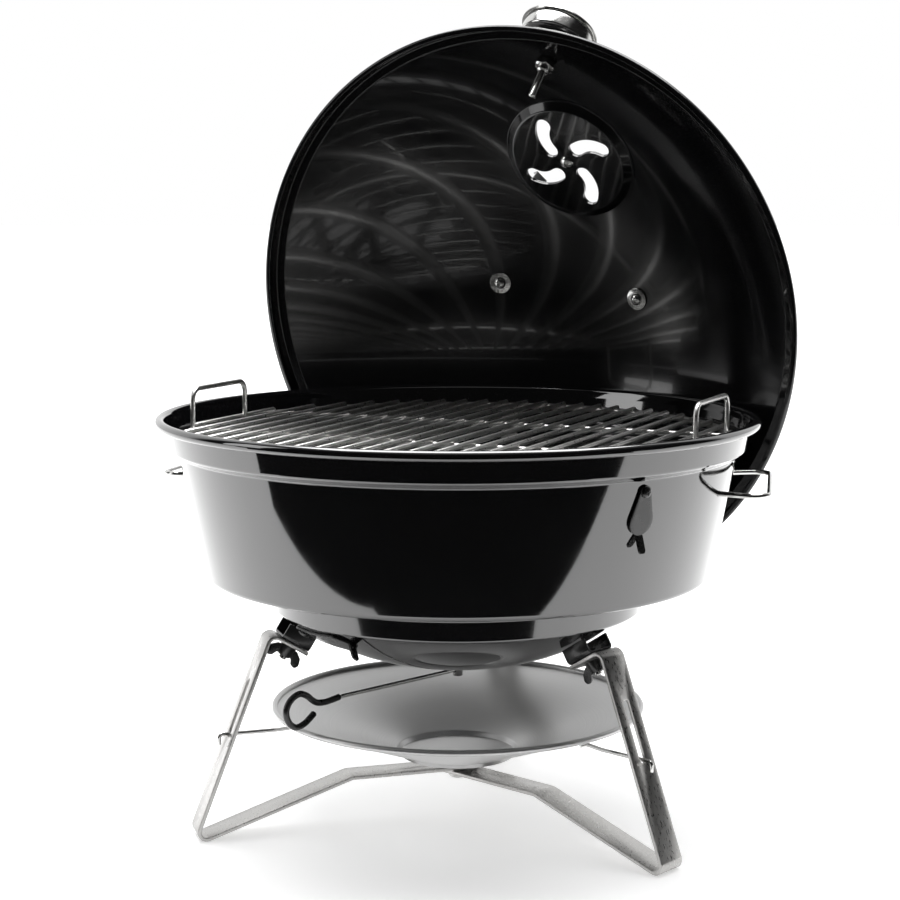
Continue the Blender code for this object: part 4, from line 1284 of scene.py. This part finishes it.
# ----------------------------------------------------------------- studio
def studio_floor():
    """Pale paper floor, ending a little in front and glowing far behind."""
    mesh = bpy.data.meshes.new("studio_floor")
    outline = [
        (-0.28, -0.45), (9.0, -0.43), (9.0, 30.0), (-9.0, 30.0), (-9.0, -0.22),
        (-0.72, -0.24),
    ]
    mesh.from_pydata([(x, y, 0.0) for x, y in outline], [], [range(6)])
    m = Nodes("studio_floor")
    m.set(Metallic=0.0)
    m.link(m.blend(m.noise(3.0, 2.0), (0.90, 0.90, 0.90), (0.92, 0.92, 0.92)),
           m.shader.inputs["Base Color"])
    m.link(m.between(m.noise(8.0, 3.0), 0.5, 0.6), m.shader.inputs["Roughness"])
    m.set(Emission_Color=(1.0, 1.0, 1.0, 1.0))
    split = m.node("ShaderNodeSeparateXYZ")
    m.link(m.place, split.inputs["Vector"])
    m.link(m.between(split.outputs["Y"], *FLOOR_GLOW, *FLOOR_FADE),
           m.shader.inputs["Emission Strength"])
    mesh.materials.append(m.material)
    floor = bpy.data.objects.new("studio_floor", mesh)
    bpy.context.scene.collection.objects.link(floor)


def softbox(name, place, aim, width, height, power):
    """White area light at a place, facing an aim, in metres and watts."""
    light = bpy.data.lights.new(name, "AREA")
    light.shape = "RECTANGLE"
    light.size = width
    light.size_y = height
    light.energy = power
    lamp = bpy.data.objects.new(name, light)
    bpy.context.scene.collection.objects.link(lamp)
    lamp.location = place
    way = Vector(aim) - Vector(place)
    lamp.rotation_euler = way.to_track_quat("-Z", "Y").to_euler()


def surround():
    """White tent, bright behind and overhead and dark towards the front."""
    world = bpy.data.worlds.new("tent")
    bpy.context.scene.world = world
    world.use_nodes = True
    tree = world.node_tree
    new, wire_up = tree.nodes.new, tree.links.new
    back = tree.nodes["Background"]
    coords = new("ShaderNodeTexCoord")
    split = new("ShaderNodeSeparateXYZ")
    wire_up(coords.outputs["Generated"], split.inputs["Vector"])

    def ramp(source, start, end, low, high):
        made = new("ShaderNodeMapRange")
        made.interpolation_type = "SMOOTHSTEP"
        for key, value in (("From Min", start), ("From Max", end),
                           ("To Min", low), ("To Max", high)):
            made.inputs[key].default_value = value
        wire_up(source, made.inputs["Value"])
        return made.outputs["Result"]

    behind = ramp(split.outputs["Y"], *TENT_BACK, 0.0, 1.0)
    overhead = ramp(split.outputs["Z"], *TENT_TOP, 0.0, 0.35)
    tent = new("ShaderNodeMath")
    tent.operation = "MAXIMUM"
    wire_up(behind, tent.inputs[0])
    wire_up(overhead, tent.inputs[1])
    glow = ramp(tent.outputs[0], 0.0, 1.0, TENT_DARK, 1.0)
    seen = new("ShaderNodeLightPath")
    pick = new("ShaderNodeMix")
    pick.data_type = "FLOAT"
    pick.inputs["B"].default_value = 1.0
    wire_up(seen.outputs["Is Camera Ray"], pick.inputs["Factor"])
    wire_up(glow, pick.inputs["A"])
    wire_up(pick.outputs["Result"], back.inputs["Strength"])
    back.inputs["Color"].default_value = (1.0, 1.0, 1.0, 1.0)


studio_floor()
surround()
for name, setup in LIGHTS.items():
    softbox(name, *setup)

camera = bpy.data.cameras.new("camera")
camera.sensor_width = 36.0
camera.lens = CAMERA_LENS
camera.clip_start, camera.clip_end = 0.05, 50.0
eye = bpy.data.objects.new("camera", camera)
bpy.context.scene.collection.objects.link(eye)
across, along, height = CAMERA_AT
eye.location = ((AXIS_X + across) * MM, (AXIS_Y + along) * MM, height * MM)
eye.rotation_euler = (math.radians(90.0 - CAMERA_DROP), 0.0, 0.0)
bpy.context.scene.camera = eye
bpy.context.scene.view_settings.view_transform = "Standard"
